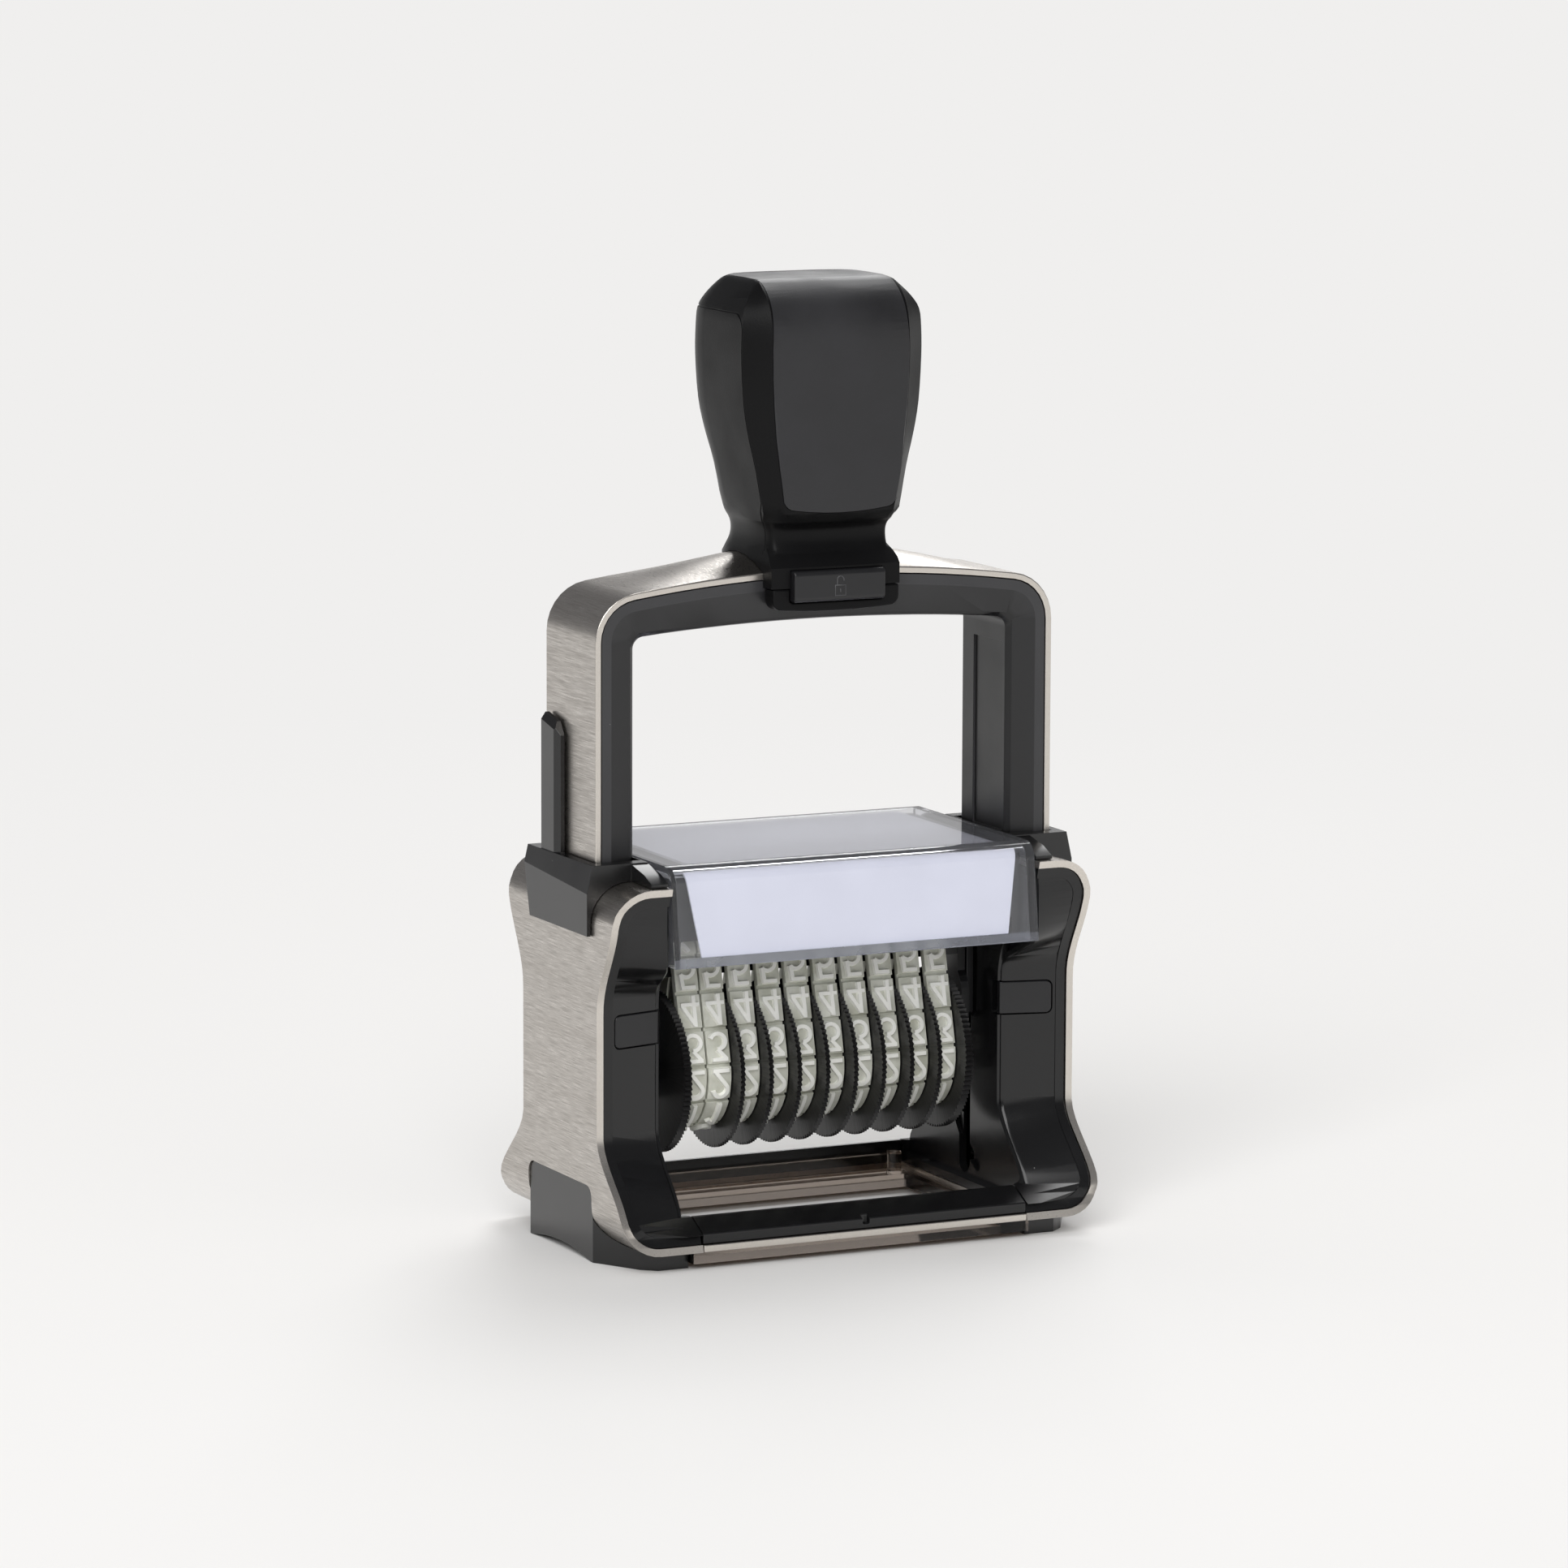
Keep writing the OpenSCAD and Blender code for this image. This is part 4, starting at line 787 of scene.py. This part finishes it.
def run(curve: bpy.types.Curve, points: Sequence[Point3], closed: bool = False) -> None:
    """Add a line of straight pieces to a curve.

    Args:
        curve: The curve.
        points: Points of the line.
        closed: Whether the line comes back to its start.
    """
    wire = curve.splines.new("POLY")
    wire.points.add(len(points) - 1)
    for point, place in zip(wire.points, points):
        point.co = (*place, 1.0)
    wire.use_cyclic_u = closed


@dataclass
class Stroke:
    """One line of a drawn sign: its points, and whether it is closed."""

    points: List[Point2]
    closed: bool = False


@dataclass
class Ribbons:
    """Raised lines of one width, drawn flat in X and Y and standing up in Z."""

    width: float
    foot: float
    low: float
    high: float
    drop: float = 0.004
    join: float = 0.0005

    def draw(self, name: str, strokes: Sequence[Stroke]) -> Object:
        """Run a tapered section along strokes, each a little lower than the one before.

        Args:
            name: Name of the mesh object.
            strokes: The lines.

        Returns:
            The mesh object, in millimetres.
        """
        section = bpy.data.curves.new(f"{name}_section", "CURVE")
        across = ((-self.foot, self.low), (self.foot, self.low), (self.width, self.high), (-self.width, self.high))
        run(section, [(x / 2, y, 0.0) for x, y in across], True)
        profile = bpy.data.objects.new(section.name, section)
        path = bpy.data.curves.new(name, "CURVE")
        path.dimensions = "3D"
        path.twist_mode = "Z_UP"
        path.bevel_mode = "OBJECT"
        path.bevel_object = profile
        path.use_fill_caps = True
        for k, stroke in enumerate(strokes):
            run(path, [(x, y, -self.drop * k) for x, y in stroke.points], stroke.closed)
        drawn = to_mesh(stand(name, path))
        bpy.data.objects.remove(profile)
        pick(drawn)
        with editing("SELECT"):
            bpy.ops.mesh.remove_doubles(threshold=self.join)
            bpy.ops.mesh.normals_make_consistent(inside=False)
        return drawn


def line(*points: Point2, step: float = 0.09) -> Stroke:
    """Straight stroke through points, with more points between them.

    Args:
        points: The corners.
        step: Greatest distance between the stroke's points.

    Returns:
        The stroke.
    """
    out: List[Point2] = [points[0]]
    for a, b in zip(points, points[1:]):
        n = max(1, math.ceil(math.dist(a, b) / step))
        out += [(a[0] + (b[0] - a[0]) * i / n, a[1] + (b[1] - a[1]) * i / n) for i in range(1, n + 1)]
    return Stroke(out)


def bow(x: float, y: float, rx: float, ry: float, start: float, stop: float, count: int = 16) -> Stroke:
    """Stroke along part of an ellipse.

    Args:
        x: Middle of the ellipse.
        y: Middle of the ellipse.
        rx: Half width.
        ry: Half height.
        start: First angle in degrees.
        stop: Last angle in degrees.
        count: Number of steps.

    Returns:
        The stroke, closed where it goes all the way round.
    """
    closed = abs(stop - start) >= 360
    angles = [math.radians(start + (stop - start) * i / count) for i in range(count if closed else count + 1)]
    return Stroke([(x + rx * math.cos(a), y + ry * math.sin(a)) for a in angles], closed)


def figure_strokes() -> Dict[int, List[Stroke]]:
    """Strokes of the figures 0 to 9 in a box FIGURE_BOX wide and 1 high.

    Returns:
        The strokes of each figure.
    """
    return {
        0: [bow(0.31, 0.5, 0.22, 0.42, 0, 360, 24)],
        1: [line((0.37, 0.0), (0.37, 1.0)), line((0.14, 0.74), (0.36, 0.95))],
        2: [bow(0.31, 0.69, 0.22, 0.23, 172, -38), line((0.49, 0.56), (0.12, 0.09)),
            line((0.05, 0.08), (0.57, 0.08))],
        3: [line((0.07, 0.92), (0.56, 0.92)), line((0.51, 0.9), (0.27, 0.6)),
            bow(0.29, 0.33, 0.24, 0.25, 96, -158)],
        4: [line((0.43, 0.0), (0.43, 1.0)), line((0.42, 0.94), (0.07, 0.32)), line((0.02, 0.28), (0.6, 0.28))],
        5: [line((0.55, 0.92), (0.09, 0.92)), line((0.15, 0.96), (0.11, 0.48)),
            bow(0.29, 0.33, 0.24, 0.25, 142, -155)],
        6: [bow(0.31, 0.3, 0.22, 0.22, 0, 360, 20), line((0.1, 0.34), (0.19, 0.66), (0.42, 0.96))],
        7: [line((0.05, 0.92), (0.58, 0.92)), line((0.53, 0.9), (0.22, 0.0))],
        8: [bow(0.31, 0.72, 0.19, 0.2, 0, 360, 20), bow(0.31, 0.29, 0.23, 0.22, 0, 360, 20)],
        9: [bow(0.31, 0.7, 0.22, 0.22, 0, 360, 20), line((0.52, 0.66), (0.43, 0.34), (0.2, 0.04))],
    }


@dataclass
class BandLoop:
    """Outside of a band: down the front run, round the drum, up the rear run and over the platen."""

    axle_z: float = 28.5
    drum_r: float = 9.9
    turn_r: float = 2.7
    turn_y: float = 2.4
    turn_z: float = 48.7

    def __post_init__(self) -> None:
        """Work out the loop's lengths."""
        rise, taper = self.turn_z - self.axle_z, self.drum_r - self.turn_r
        reach = math.hypot(self.turn_y, rise)
        self.lean = math.atan2(rise, self.turn_y) - math.acos(taper / reach)
        self.run = math.sqrt(reach ** 2 - taper ** 2)
        self.drum = self.drum_r * (math.pi + 2 * self.lean)
        self.turn = self.turn_r * (math.pi / 2 - self.lean)
        self.total = 2 * self.run + self.drum + 2 * self.turn + 2 * self.turn_y

    def at(self, s: float, height: float) -> Point2:
        """Point above the band.

        Args:
            s: Distance along the band from the top of its front run, in millimetres.
            height: Distance out from the band's surface.

        Returns:
            The point's Y and Z.
        """
        front, top = math.pi - self.lean, math.pi / 2
        s %= self.total
        for length, y, z, r, angle, bent in (
            (self.run, -self.turn_y, self.turn_z, self.turn_r, front, False),
            (self.drum, 0.0, self.axle_z, self.drum_r, front, True),
            (self.run, 0.0, self.axle_z, self.drum_r, self.lean, False),
            (self.turn, self.turn_y, self.turn_z, self.turn_r, self.lean, True),
            (2 * self.turn_y, self.turn_y, self.turn_z, self.turn_r, top, False),
            (math.inf, -self.turn_y, self.turn_z, self.turn_r, top, True),
        ):
            if s < length:
                break
            s -= length
        angle, along = (angle + s / r, 0.0) if bent else (angle, s)
        c, d = math.cos(angle), math.sin(angle)
        return (y + (r + height) * c - along * d, z + (r + height) * d + along * c)


@dataclass
class NumberUnit(SubAssembly):
    """Bands with their figures, setting wheels, side plates, platen and pins."""

    loop: BandLoop = field(default_factory=BandLoop)
    count: int = 10
    blocks: int = 14
    first_cut: float = 1.0
    zero_block: float = 5.5
    figure_h: float = 5.15
    figure_w: float = 3.5
    figure_smooth: float = 38.0
    relief: float = 0.57

    def build(self) -> None:
        """Dress the number unit."""
        f = self.finishes
        for k in range(1, self.count + 1):
            self.soften(f"number_band_{k}", Rides.NUMBERS.value, f.cream, Slot.CREAM, 0.08, 1, 24.0)
            self.paint(f"setting_wheel_{k}", f.wheel)
        self.figures()
        for side in SIDES:
            self.paint(f"carriage_{side}", f.satin)
            self.paint(f"cam_pin_{side}", f.pin)
            self.paint(f"trunnion_{side}", f.pin)
            self.soften(f"yoke_arm_{side}", Rides.HANDLE.value, f.button, Slot.BLACK, 0.2)
        self.paint("platen", f.satin)
        self.paint("wheel_axle", f.pin)

    def figures(self) -> None:
        """Raise the figures 0 to 9 on every band, modelled once and copied."""
        pen = Ribbons(width=0.115, foot=0.175, low=-0.03, high=self.relief / self.figure_h)
        pitch = self.loop.total / self.blocks
        parts: List[Object] = []
        for figure, strokes in figure_strokes().items():
            flat = pen.draw(f"figure_{figure}", strokes)
            middle = self.first_cut + pitch * (self.zero_block - figure)
            for v in flat.data.vertices:
                s = middle + (v.co.y - 0.5) * self.figure_h
                y, z = self.loop.at(s, v.co.z * self.figure_h)
                x = (v.co.x - FIGURE_BOX / 2) * self.figure_w / FIGURE_BOX
                v.co = Vector((x * MM, y * MM, z * MM))
            parts.append(flat)
        pick(parts[0])
        for part in parts[1:]:
            part.select_set(True)
        bpy.ops.object.join()
        master = bpy.context.view_layer.objects.active
        with editing("SELECT"):
            bpy.ops.mesh.normals_make_consistent(inside=False)
        bpy.ops.object.shade_smooth_by_angle(angle=math.radians(self.figure_smooth))
        master.data.materials.clear()
        master.data.materials.append(self.finishes.figure)
        for k in range(1, self.count + 1):
            low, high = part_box(f"number_band_{k}")
            copy = stand(f"figures_{k}", master.data.copy())
            copy.data.transform(Matrix.Translation(((low.x + high.x) / 2, 0.0, 0.0)))
            self.settle(copy, Rides.NUMBERS.value, Slot.CREAM)
        bpy.data.objects.remove(master)


@dataclass
class HandleUnit(SubAssembly):
    """Grip with its inlay, lock button, steel arch and the frame inside it."""

    sign_line: float = 0.2
    sign_size: float = 3.3
    sign_sink: float = -0.02
    sign_rise: float = 0.045
    panel_top: float = 154.7
    panel_front: float = -11.2
    panel_back: float = 9.0
    panel_low: float = 115.0
    panel_turn: float = 3.0
    seam: float = 0.17
    seam_step: float = 0.8
    seam_bend: float = 2.0
    outside: float = 60.0
    back: float = 9.9
    back_swell: float = 2.6
    swell_low: float = 113.0
    swell_rise: float = 8.0
    stroke: float = 23.9
    neck: Tuple[float, float] = (115.6, 121.6)
    neck_step: float = 2.4
    neck_margin: float = 0.4
    grip_edge: float = 0.35
    grip_sharp: float = 32.0
    corner: Tuple[float, float] = (34.2, 102.15)
    corner_reach: float = 0.75
    corner_join: float = 0.01
    corner_round: float = 1.8
    band_edge: float = 0.12
    slope_facing: float = 0.8
    band_facing: float = 0.995

    def build(self) -> None:
        """Dress the handle unit."""
        f = self.finishes
        body = Rides.HANDLE.value
        grip = self.soften("handle_grip", body, f.soft_touch, Slot.BLACK, 0.0, lofted=True, smooth=40.0,
                           shape=self.shape_grip)
        inlay = self.soften("grip_inlay", body, f.charcoal, Slot.CHARCOAL, 0.3, 3, 40.0, True, 40.0)
        for piece in (grip, inlay):
            self.swell(piece)
        self.soften("lock_housing", body, f.soft_touch, Slot.BLACK, 0.35, 3)
        self.soften("lock_button", Rides.LOCK.value, f.button, Slot.BLACK, 0.3, 3, 25.0)
        self.soften("arch_strap", body, f.steel, Slot.STEEL, 0.25, 3, 40.0)
        self.soften("arch_frame", body, f.frame_black, Slot.BLACK, 0.3, 3, 36.0, shape=self.shape_arch)
        self.padlock()
        for side in SIDES:
            self.spring(f"return_spring_{side}")

    def spring(self, node: str) -> None:
        """Dress a return spring, which the handle presses together; the dressed copy keeps its full length.

        Args:
            node: The spring's node.
        """
        coil = self.soften(node, Rides.BASE.value, self.finishes.pin, Slot.PIN, 0.0, lofted=True, smooth=75.0)
        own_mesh(coil)

    def shape_arch(self, arch: Object) -> None:
        """Draw each inner corner of the arch's frame to one line, round it, and ease the outer band's edge.

        Args:
            arch: The frame's mesh object.
        """
        x, z = (value * MM for value in self.corner)

        def near(v: bpy.types.MeshVertex, reach: float) -> bool:
            """Whether a vertex lies within a reach of an inner corner."""
            return max(abs(abs(v.co.x) - x), abs(v.co.z - z)) < reach * MM

        for v in arch.data.vertices:
            if near(v, self.corner_reach):
                v.co.x, v.co.z = math.copysign(x, v.co.x), z
        with editing("SELECT"):
            bpy.ops.mesh.remove_doubles(threshold=self.corner_join * MM)
            bpy.ops.mesh.dissolve_degenerate(threshold=self.corner_join * MM)
            bpy.ops.mesh.select_mode(type="EDGE")
            bpy.ops.mesh.select_all(action="DESELECT")
        at = [near(v, self.corner_join) for v in arch.data.vertices]
        for edge in arch.data.edges:
            edge.select = at[edge.vertices[0]] and at[edge.vertices[1]]
        with editing():
            bpy.ops.mesh.bevel(offset=self.corner_round * MM, segments=7, clamp_overlap=False)
            bpy.ops.mesh.select_all(action="DESELECT")
        facing: Dict[Tuple[int, int], List[float]] = {}
        for face in arch.data.polygons:
            for key in face.edge_keys:
                facing.setdefault(key, []).append(abs(face.normal.y))
        for edge in arch.data.edges:
            turns = facing[edge.key]
            edge.select = self.slope_facing < min(turns) <= self.band_facing < max(turns)
        with editing():
            bpy.ops.mesh.bevel(offset=self.band_edge * MM, segments=2)

    def shape_grip(self, grip: Object) -> None:
        """Round the grip's edges, smooth its hollow neck and cut its seams.

        Args:
            grip: The grip's mesh object.
        """
        low, high = (value * MM for value in self.neck)
        margin = self.neck_margin * MM
        with editing("DESELECT", "EDGE"):
            bpy.ops.mesh.edges_select_sharp(sharpness=math.radians(self.grip_sharp))
        points = grip.data.vertices
        for edge in grip.data.edges:
            middle = (points[edge.vertices[0]].co + points[edge.vertices[1]].co) / 2
            if low < middle.z < high:
                edge.select = False
        with editing():
            bpy.ops.mesh.bevel(offset=self.grip_edge * MM, segments=3, clamp_overlap=True, miter_outer="ARC")
            bpy.ops.mesh.select_mode(type="FACE")
            bpy.ops.mesh.select_all(action="DESELECT")
        for face in grip.data.polygons:
            face.select = low < face.center.z < high
        with editing():
            bpy.ops.mesh.subdivide(number_cuts=3, quadcorner="INNERVERT")
            bpy.ops.mesh.select_mode(type="VERT")
        for v in grip.data.vertices:
            v.select = low + margin < v.co.z < high - margin
        with editing():
            bpy.ops.mesh.vertices_smooth(factor=0.5, repeat=12)
        self.side_seams(grip)

    def side_seams(self, grip: Object) -> None:
        """Cut a fine groove round the two side panels of the grip.

        Args:
            grip: The grip's mesh object.
        """
        mesh = grip.data
        surface = BVHTree.FromPolygons([v.co for v in mesh.vertices], [p.vertices for p in mesh.polygons])
        top, turn, step, bend = self.panel_top, self.panel_turn, self.seam_step, self.seam_bend
        front, hollow = self.panel_front, self.panel_front + self.neck_step
        high = self.neck[1]
        route = line((hollow, self.panel_low), (hollow, high - bend), (front, high + bend), (front, top - turn),
                     step=step).points
        route += bow(front + turn, top - turn, turn, turn, 180, 90, 8).points
        route += line((front + turn, top), (self.panel_back, top), step=step).points
        for side in (-1.0, 1.0):
            path = bpy.data.curves.new("seam_route", "CURVE")
            path.dimensions = "3D"
            path.bevel_depth = self.seam * MM
            path.bevel_resolution = 2
            path.use_fill_caps = True
            inward = Vector((-side, 0.0, 0.0))
            hits = [surface.ray_cast(Vector((side * self.outside, y, z)) * MM, inward)[0] for y, z in route]
            run(path, [tuple(place) for place in hits if place is not None])
            cutter = to_mesh(stand("seam_cutter", path))
            pick(grip)
            modify(grip, "BOOLEAN", operation="DIFFERENCE", solver="EXACT", object=cutter)
            bpy.data.objects.remove(cutter)

    def swell(self, piece: Object) -> None:
        """Round out the back of the grip above the arch.

        Args:
            piece: The grip or its inlay.
        """
        for v in piece.data.vertices:
            rise = min(1.0, max(0.0, (v.co.z / MM - self.swell_low) / self.swell_rise))
            v.co.y *= 1.0 + self.back_swell / self.back * rise if v.co.y > 0.0 else 1.0

    def padlock(self) -> None:
        """Draw the small padlock sign on the lock button's face."""
        low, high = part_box("lock_button")
        pen = Ribbons(self.sign_line, self.sign_line, self.sign_sink, self.sign_rise)
        strokes = [
            Stroke([(-0.95, 0.0), (0.95, 0.0), (0.95, 1.7), (-0.95, 1.7)], True),
            Stroke([(-0.6, 1.7), (-0.6, 2.6)] + bow(0.0, 2.6, 0.6, 0.6, 180, 0, 10).points + [(0.6, 2.35)]),
            line((0.0, 0.55), (0.0, 1.1)),
        ]
        sign = pen.draw("padlock_sign", strokes)
        middle = Vector((0.0, low.y, (low.z + high.z) / 2))
        for v in sign.data.vertices:
            x, up, out = v.co
            v.co = middle + Vector((x * MM, -out * MM, (up - self.sign_size / 2) * MM))
        sign.data.materials.append(self.finishes.sign)
        self.settle(sign, Rides.LOCK.value, Slot.BLACK)


@dataclass
class Body(SubAssembly):
    """Steel straps, moulded cheeks and rails, collars, feet, base frame and release buttons."""

    def build(self) -> None:
        """Dress the body."""
        f = self.finishes
        base = Rides.BASE.value
        for side in SIDES:
            self.soften(f"body_strap_{side}", base, f.steel, Slot.STEEL, 0.32, 3, 40.0)
            self.soften(f"cheek_{side}", base, f.gloss, Slot.GLOSS, 0.22, 2, 36.0, True, 40.0)
            self.soften(f"collar_{side}", base, f.polished, Slot.GLOSS, 0.22, 3, 12.0)
            self.soften(f"foot_{side}", base, f.polished, Slot.BLACK, 0.5, 3, 28.0)
            self.soften(f"release_button_{side}", f"release_{side}", f.button, Slot.BLACK, 0.25, 3)
        self.soften("sill_strips", base, f.steel, Slot.STEEL, 0.2, 3)
        for end in ("front", "rear"):
            self.soften(f"{end}_rail", base, f.gloss, Slot.BLACK, 0.2, 2, 20.0)
        self.soften("base_frame", base, f.smoky, Slot.SMOKY, 0.2, 2)


@dataclass
class WindowAndPad(SubAssembly):
    """Clear cover with its cards, and the pad cartridge."""

    border_lap: float = 0.1
    border_front: float = -19.0

    def build(self) -> None:
        """Dress the window and the cartridge."""
        f = self.finishes
        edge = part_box("index_card")[0].z + self.border_lap * MM
        cover = self.soften("window_cover", Rides.BASE.value, f.clear, Slot.CLEAR, 0.18, 2, 28.0,
                            shape=lambda piece: self.split(piece, edge))
        cover.data.materials.append(f.frosted)
        for face in cover.data.polygons:
            face.material_index = int(face.center.z < edge and face.center.y < self.border_front * MM)
        self.paint("index_card", f.card)
        self.paint("top_card", f.top_card)
        self.soften("pad_tray", Rides.CARTRIDGE.value, f.satin, Slot.BLACK, 0.2)
        self.soften("ink_pad", Rides.CARTRIDGE.value, f.pad, Slot.PAD, 0.5, 3)

    @staticmethod
    def split(piece: Object, height: float) -> None:
        """Draw a line of edges round a piece at a height.

        Args:
            piece: The piece.
            height: Height of the line in metres.
        """
        pick(piece)
        with editing("SELECT"):
            bpy.ops.mesh.bisect(plane_co=(0.0, 0.0, height), plane_no=(0.0, 0.0, 1.0))


@dataclass
class Studio:
    """Pale floor, soft lamps, and the camera at the photograph's angle."""

    turn: float = 25.744
    rise: float = 8.693
    roll: float = 0.226
    lens_px: float = 8837.0
    frame_px: float = 1932.0
    sensor: float = 36.0
    distance: float = 1.19315
    target: Point3 = (-0.00298, 0.0, 0.0751)
    floor_r: float = 14.0
    room: Display = (118, 118, 120)
    daylight: Colour = (1.0, 0.995, 0.985, 1.0)
    daylight_strength: float = 0.42

    def build(self) -> None:
        """Set up the studio."""
        self.camera()
        self.floor()
        self.world()
        self.lamp("top_softbox", (0.45, 0.5, 1.45), (0.0, 0.0, 0.08), 0.6, 6.0)
        self.lamp("rear_softbox", (0.75, 1.2, 0.88), (0.0, 0.0, 0.1), 0.55, 3.9)
        self.lamp("front_softbox", (-1.0, -1.3, 1.3), (0.0, 0.0, 0.08), 1.6, 30.0)

    def camera(self) -> None:
        """Place the camera."""
        a, e = math.radians(-self.turn), math.radians(self.rise)
        back = Vector((math.sin(a) * math.cos(e), -math.cos(a) * math.cos(e), math.sin(e)))
        right = Vector((math.cos(a), math.sin(a), 0.0))
        up = back.cross(right)
        data = bpy.data.cameras.new("photo_camera")
        data.sensor_width = self.sensor
        data.lens = self.lens_px / self.frame_px * self.sensor
        data.clip_start = 0.05
        data.clip_end = 60.0
        camera = stand("photo_camera", data)
        facing = Matrix((right, up, back)).transposed() @ Matrix.Rotation(math.radians(self.roll), 3, "Z")
        camera.matrix_world = Matrix.Translation(Vector(self.target) + back * self.distance) @ facing.to_4x4()
        bpy.context.scene.camera = camera

    def floor(self) -> None:
        """Lay the pale floor, which runs out into the background."""
        deselect()
        bpy.ops.mesh.primitive_circle_add(vertices=96, radius=self.floor_r, fill_type="NGON",
                                          location=(0.0, 0.0, 0.0))
        floor = bpy.context.view_layer.objects.active
        floor.name = "pale_floor"
        r = Recipe("pale_floor")
        cloud = r.clouds(300.0, 1.5)[1]
        r.feed("Base Color", r.mix(r.spread(cloud, 0.0, 1.0), tone(239, 238, 237), tone(242, 241, 240)))
        r.preset(r.shader, Roughness=0.9, Specular_IOR_Level=0.1)
        far = r.add("VectorMath")
        far.operation = "LENGTH"
        r.link(r.add("TexCoord").outputs["Object"], far.inputs[0])
        shown = r.math("MULTIPLY", r.spread(far.outputs["Value"], 0.0, 1.0, 0.16, 0.6), self.seen(r))
        r.blend(shown, r.shader, r.add("Emission", Color=tone(*PALE)), r.out)
        floor.data.materials.append(r.material)

    @staticmethod
    def seen(g: Graph) -> Socket:
        """Mask of the rays that see the background: from the camera, off gloss and through clear pieces.

        Args:
            g: Tree that gets the nodes.

        Returns:
            The mask's socket.
        """
        ways = g.add("LightPath")
        mask = ways.outputs["Is Camera Ray"]
        for name in ("Is Glossy Ray", "Is Transmission Ray"):
            mask = g.math("MAXIMUM", mask, ways.outputs[name])
        return mask

    def world(self) -> None:
        """Light the scene evenly, and show a pale horizon below a dim room."""
        scene = bpy.context.scene
        scene.view_settings.view_transform = "Standard"
        scene.world = scene.world or bpy.data.worlds.new("studio")
        scene.world.use_nodes = True
        g = Graph(scene.world.node_tree)
        g.tree.nodes.clear()
        lit = g.add("Background", Color=self.daylight, Strength=self.daylight_strength)
        limit = g.spread(g.axis("Generated", "X"), -0.25, 0.0, -0.4, -0.1)
        above = g.math("SUBTRACT", g.axis("Generated", "Z"), limit)
        rise = g.spread(above, 0.0, 1.0, 0.0, 0.32, eased=True)
        shown = g.add("Background")
        g.link(g.mix(rise, tone(*PALE), tone(*self.room)), shown.inputs["Color"])
        g.blend(self.seen(g), lit, shown, g.add("OutputWorld"))

    def lamp(self, name: str, place: Point3, aim: Point3, size: float, watts: float) -> None:
        """Hang a soft lamp.

        Args:
            name: Name of the lamp.
            place: Where it hangs, in metres.
            aim: Where it points.
            size: Side of its square face, in metres.
            watts: Its power.
        """
        data = bpy.data.lights.new(name, "AREA")
        data.shape = "SQUARE"
        data.size = size
        data.energy = watts
        lamp = stand(name, data)
        lamp.location = place
        lamp.rotation_euler = (Vector(aim) - Vector(place)).to_track_quat("-Z", "Y").to_euler()
        lamp.visible_camera = False


def main() -> None:
    """Build the studio and the sub-assemblies."""
    logging.basicConfig(level=logging.INFO, format="%(name)s %(message)s")
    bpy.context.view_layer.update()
    Studio().build()
    finishes = Finishes()
    for part in (HandleUnit(finishes), Body(finishes), WindowAndPad(finishes), NumberUnit(finishes)):
        LOG.info("building %s", type(part).__name__)
        part.build()


if __name__ == "__main__":
    main()
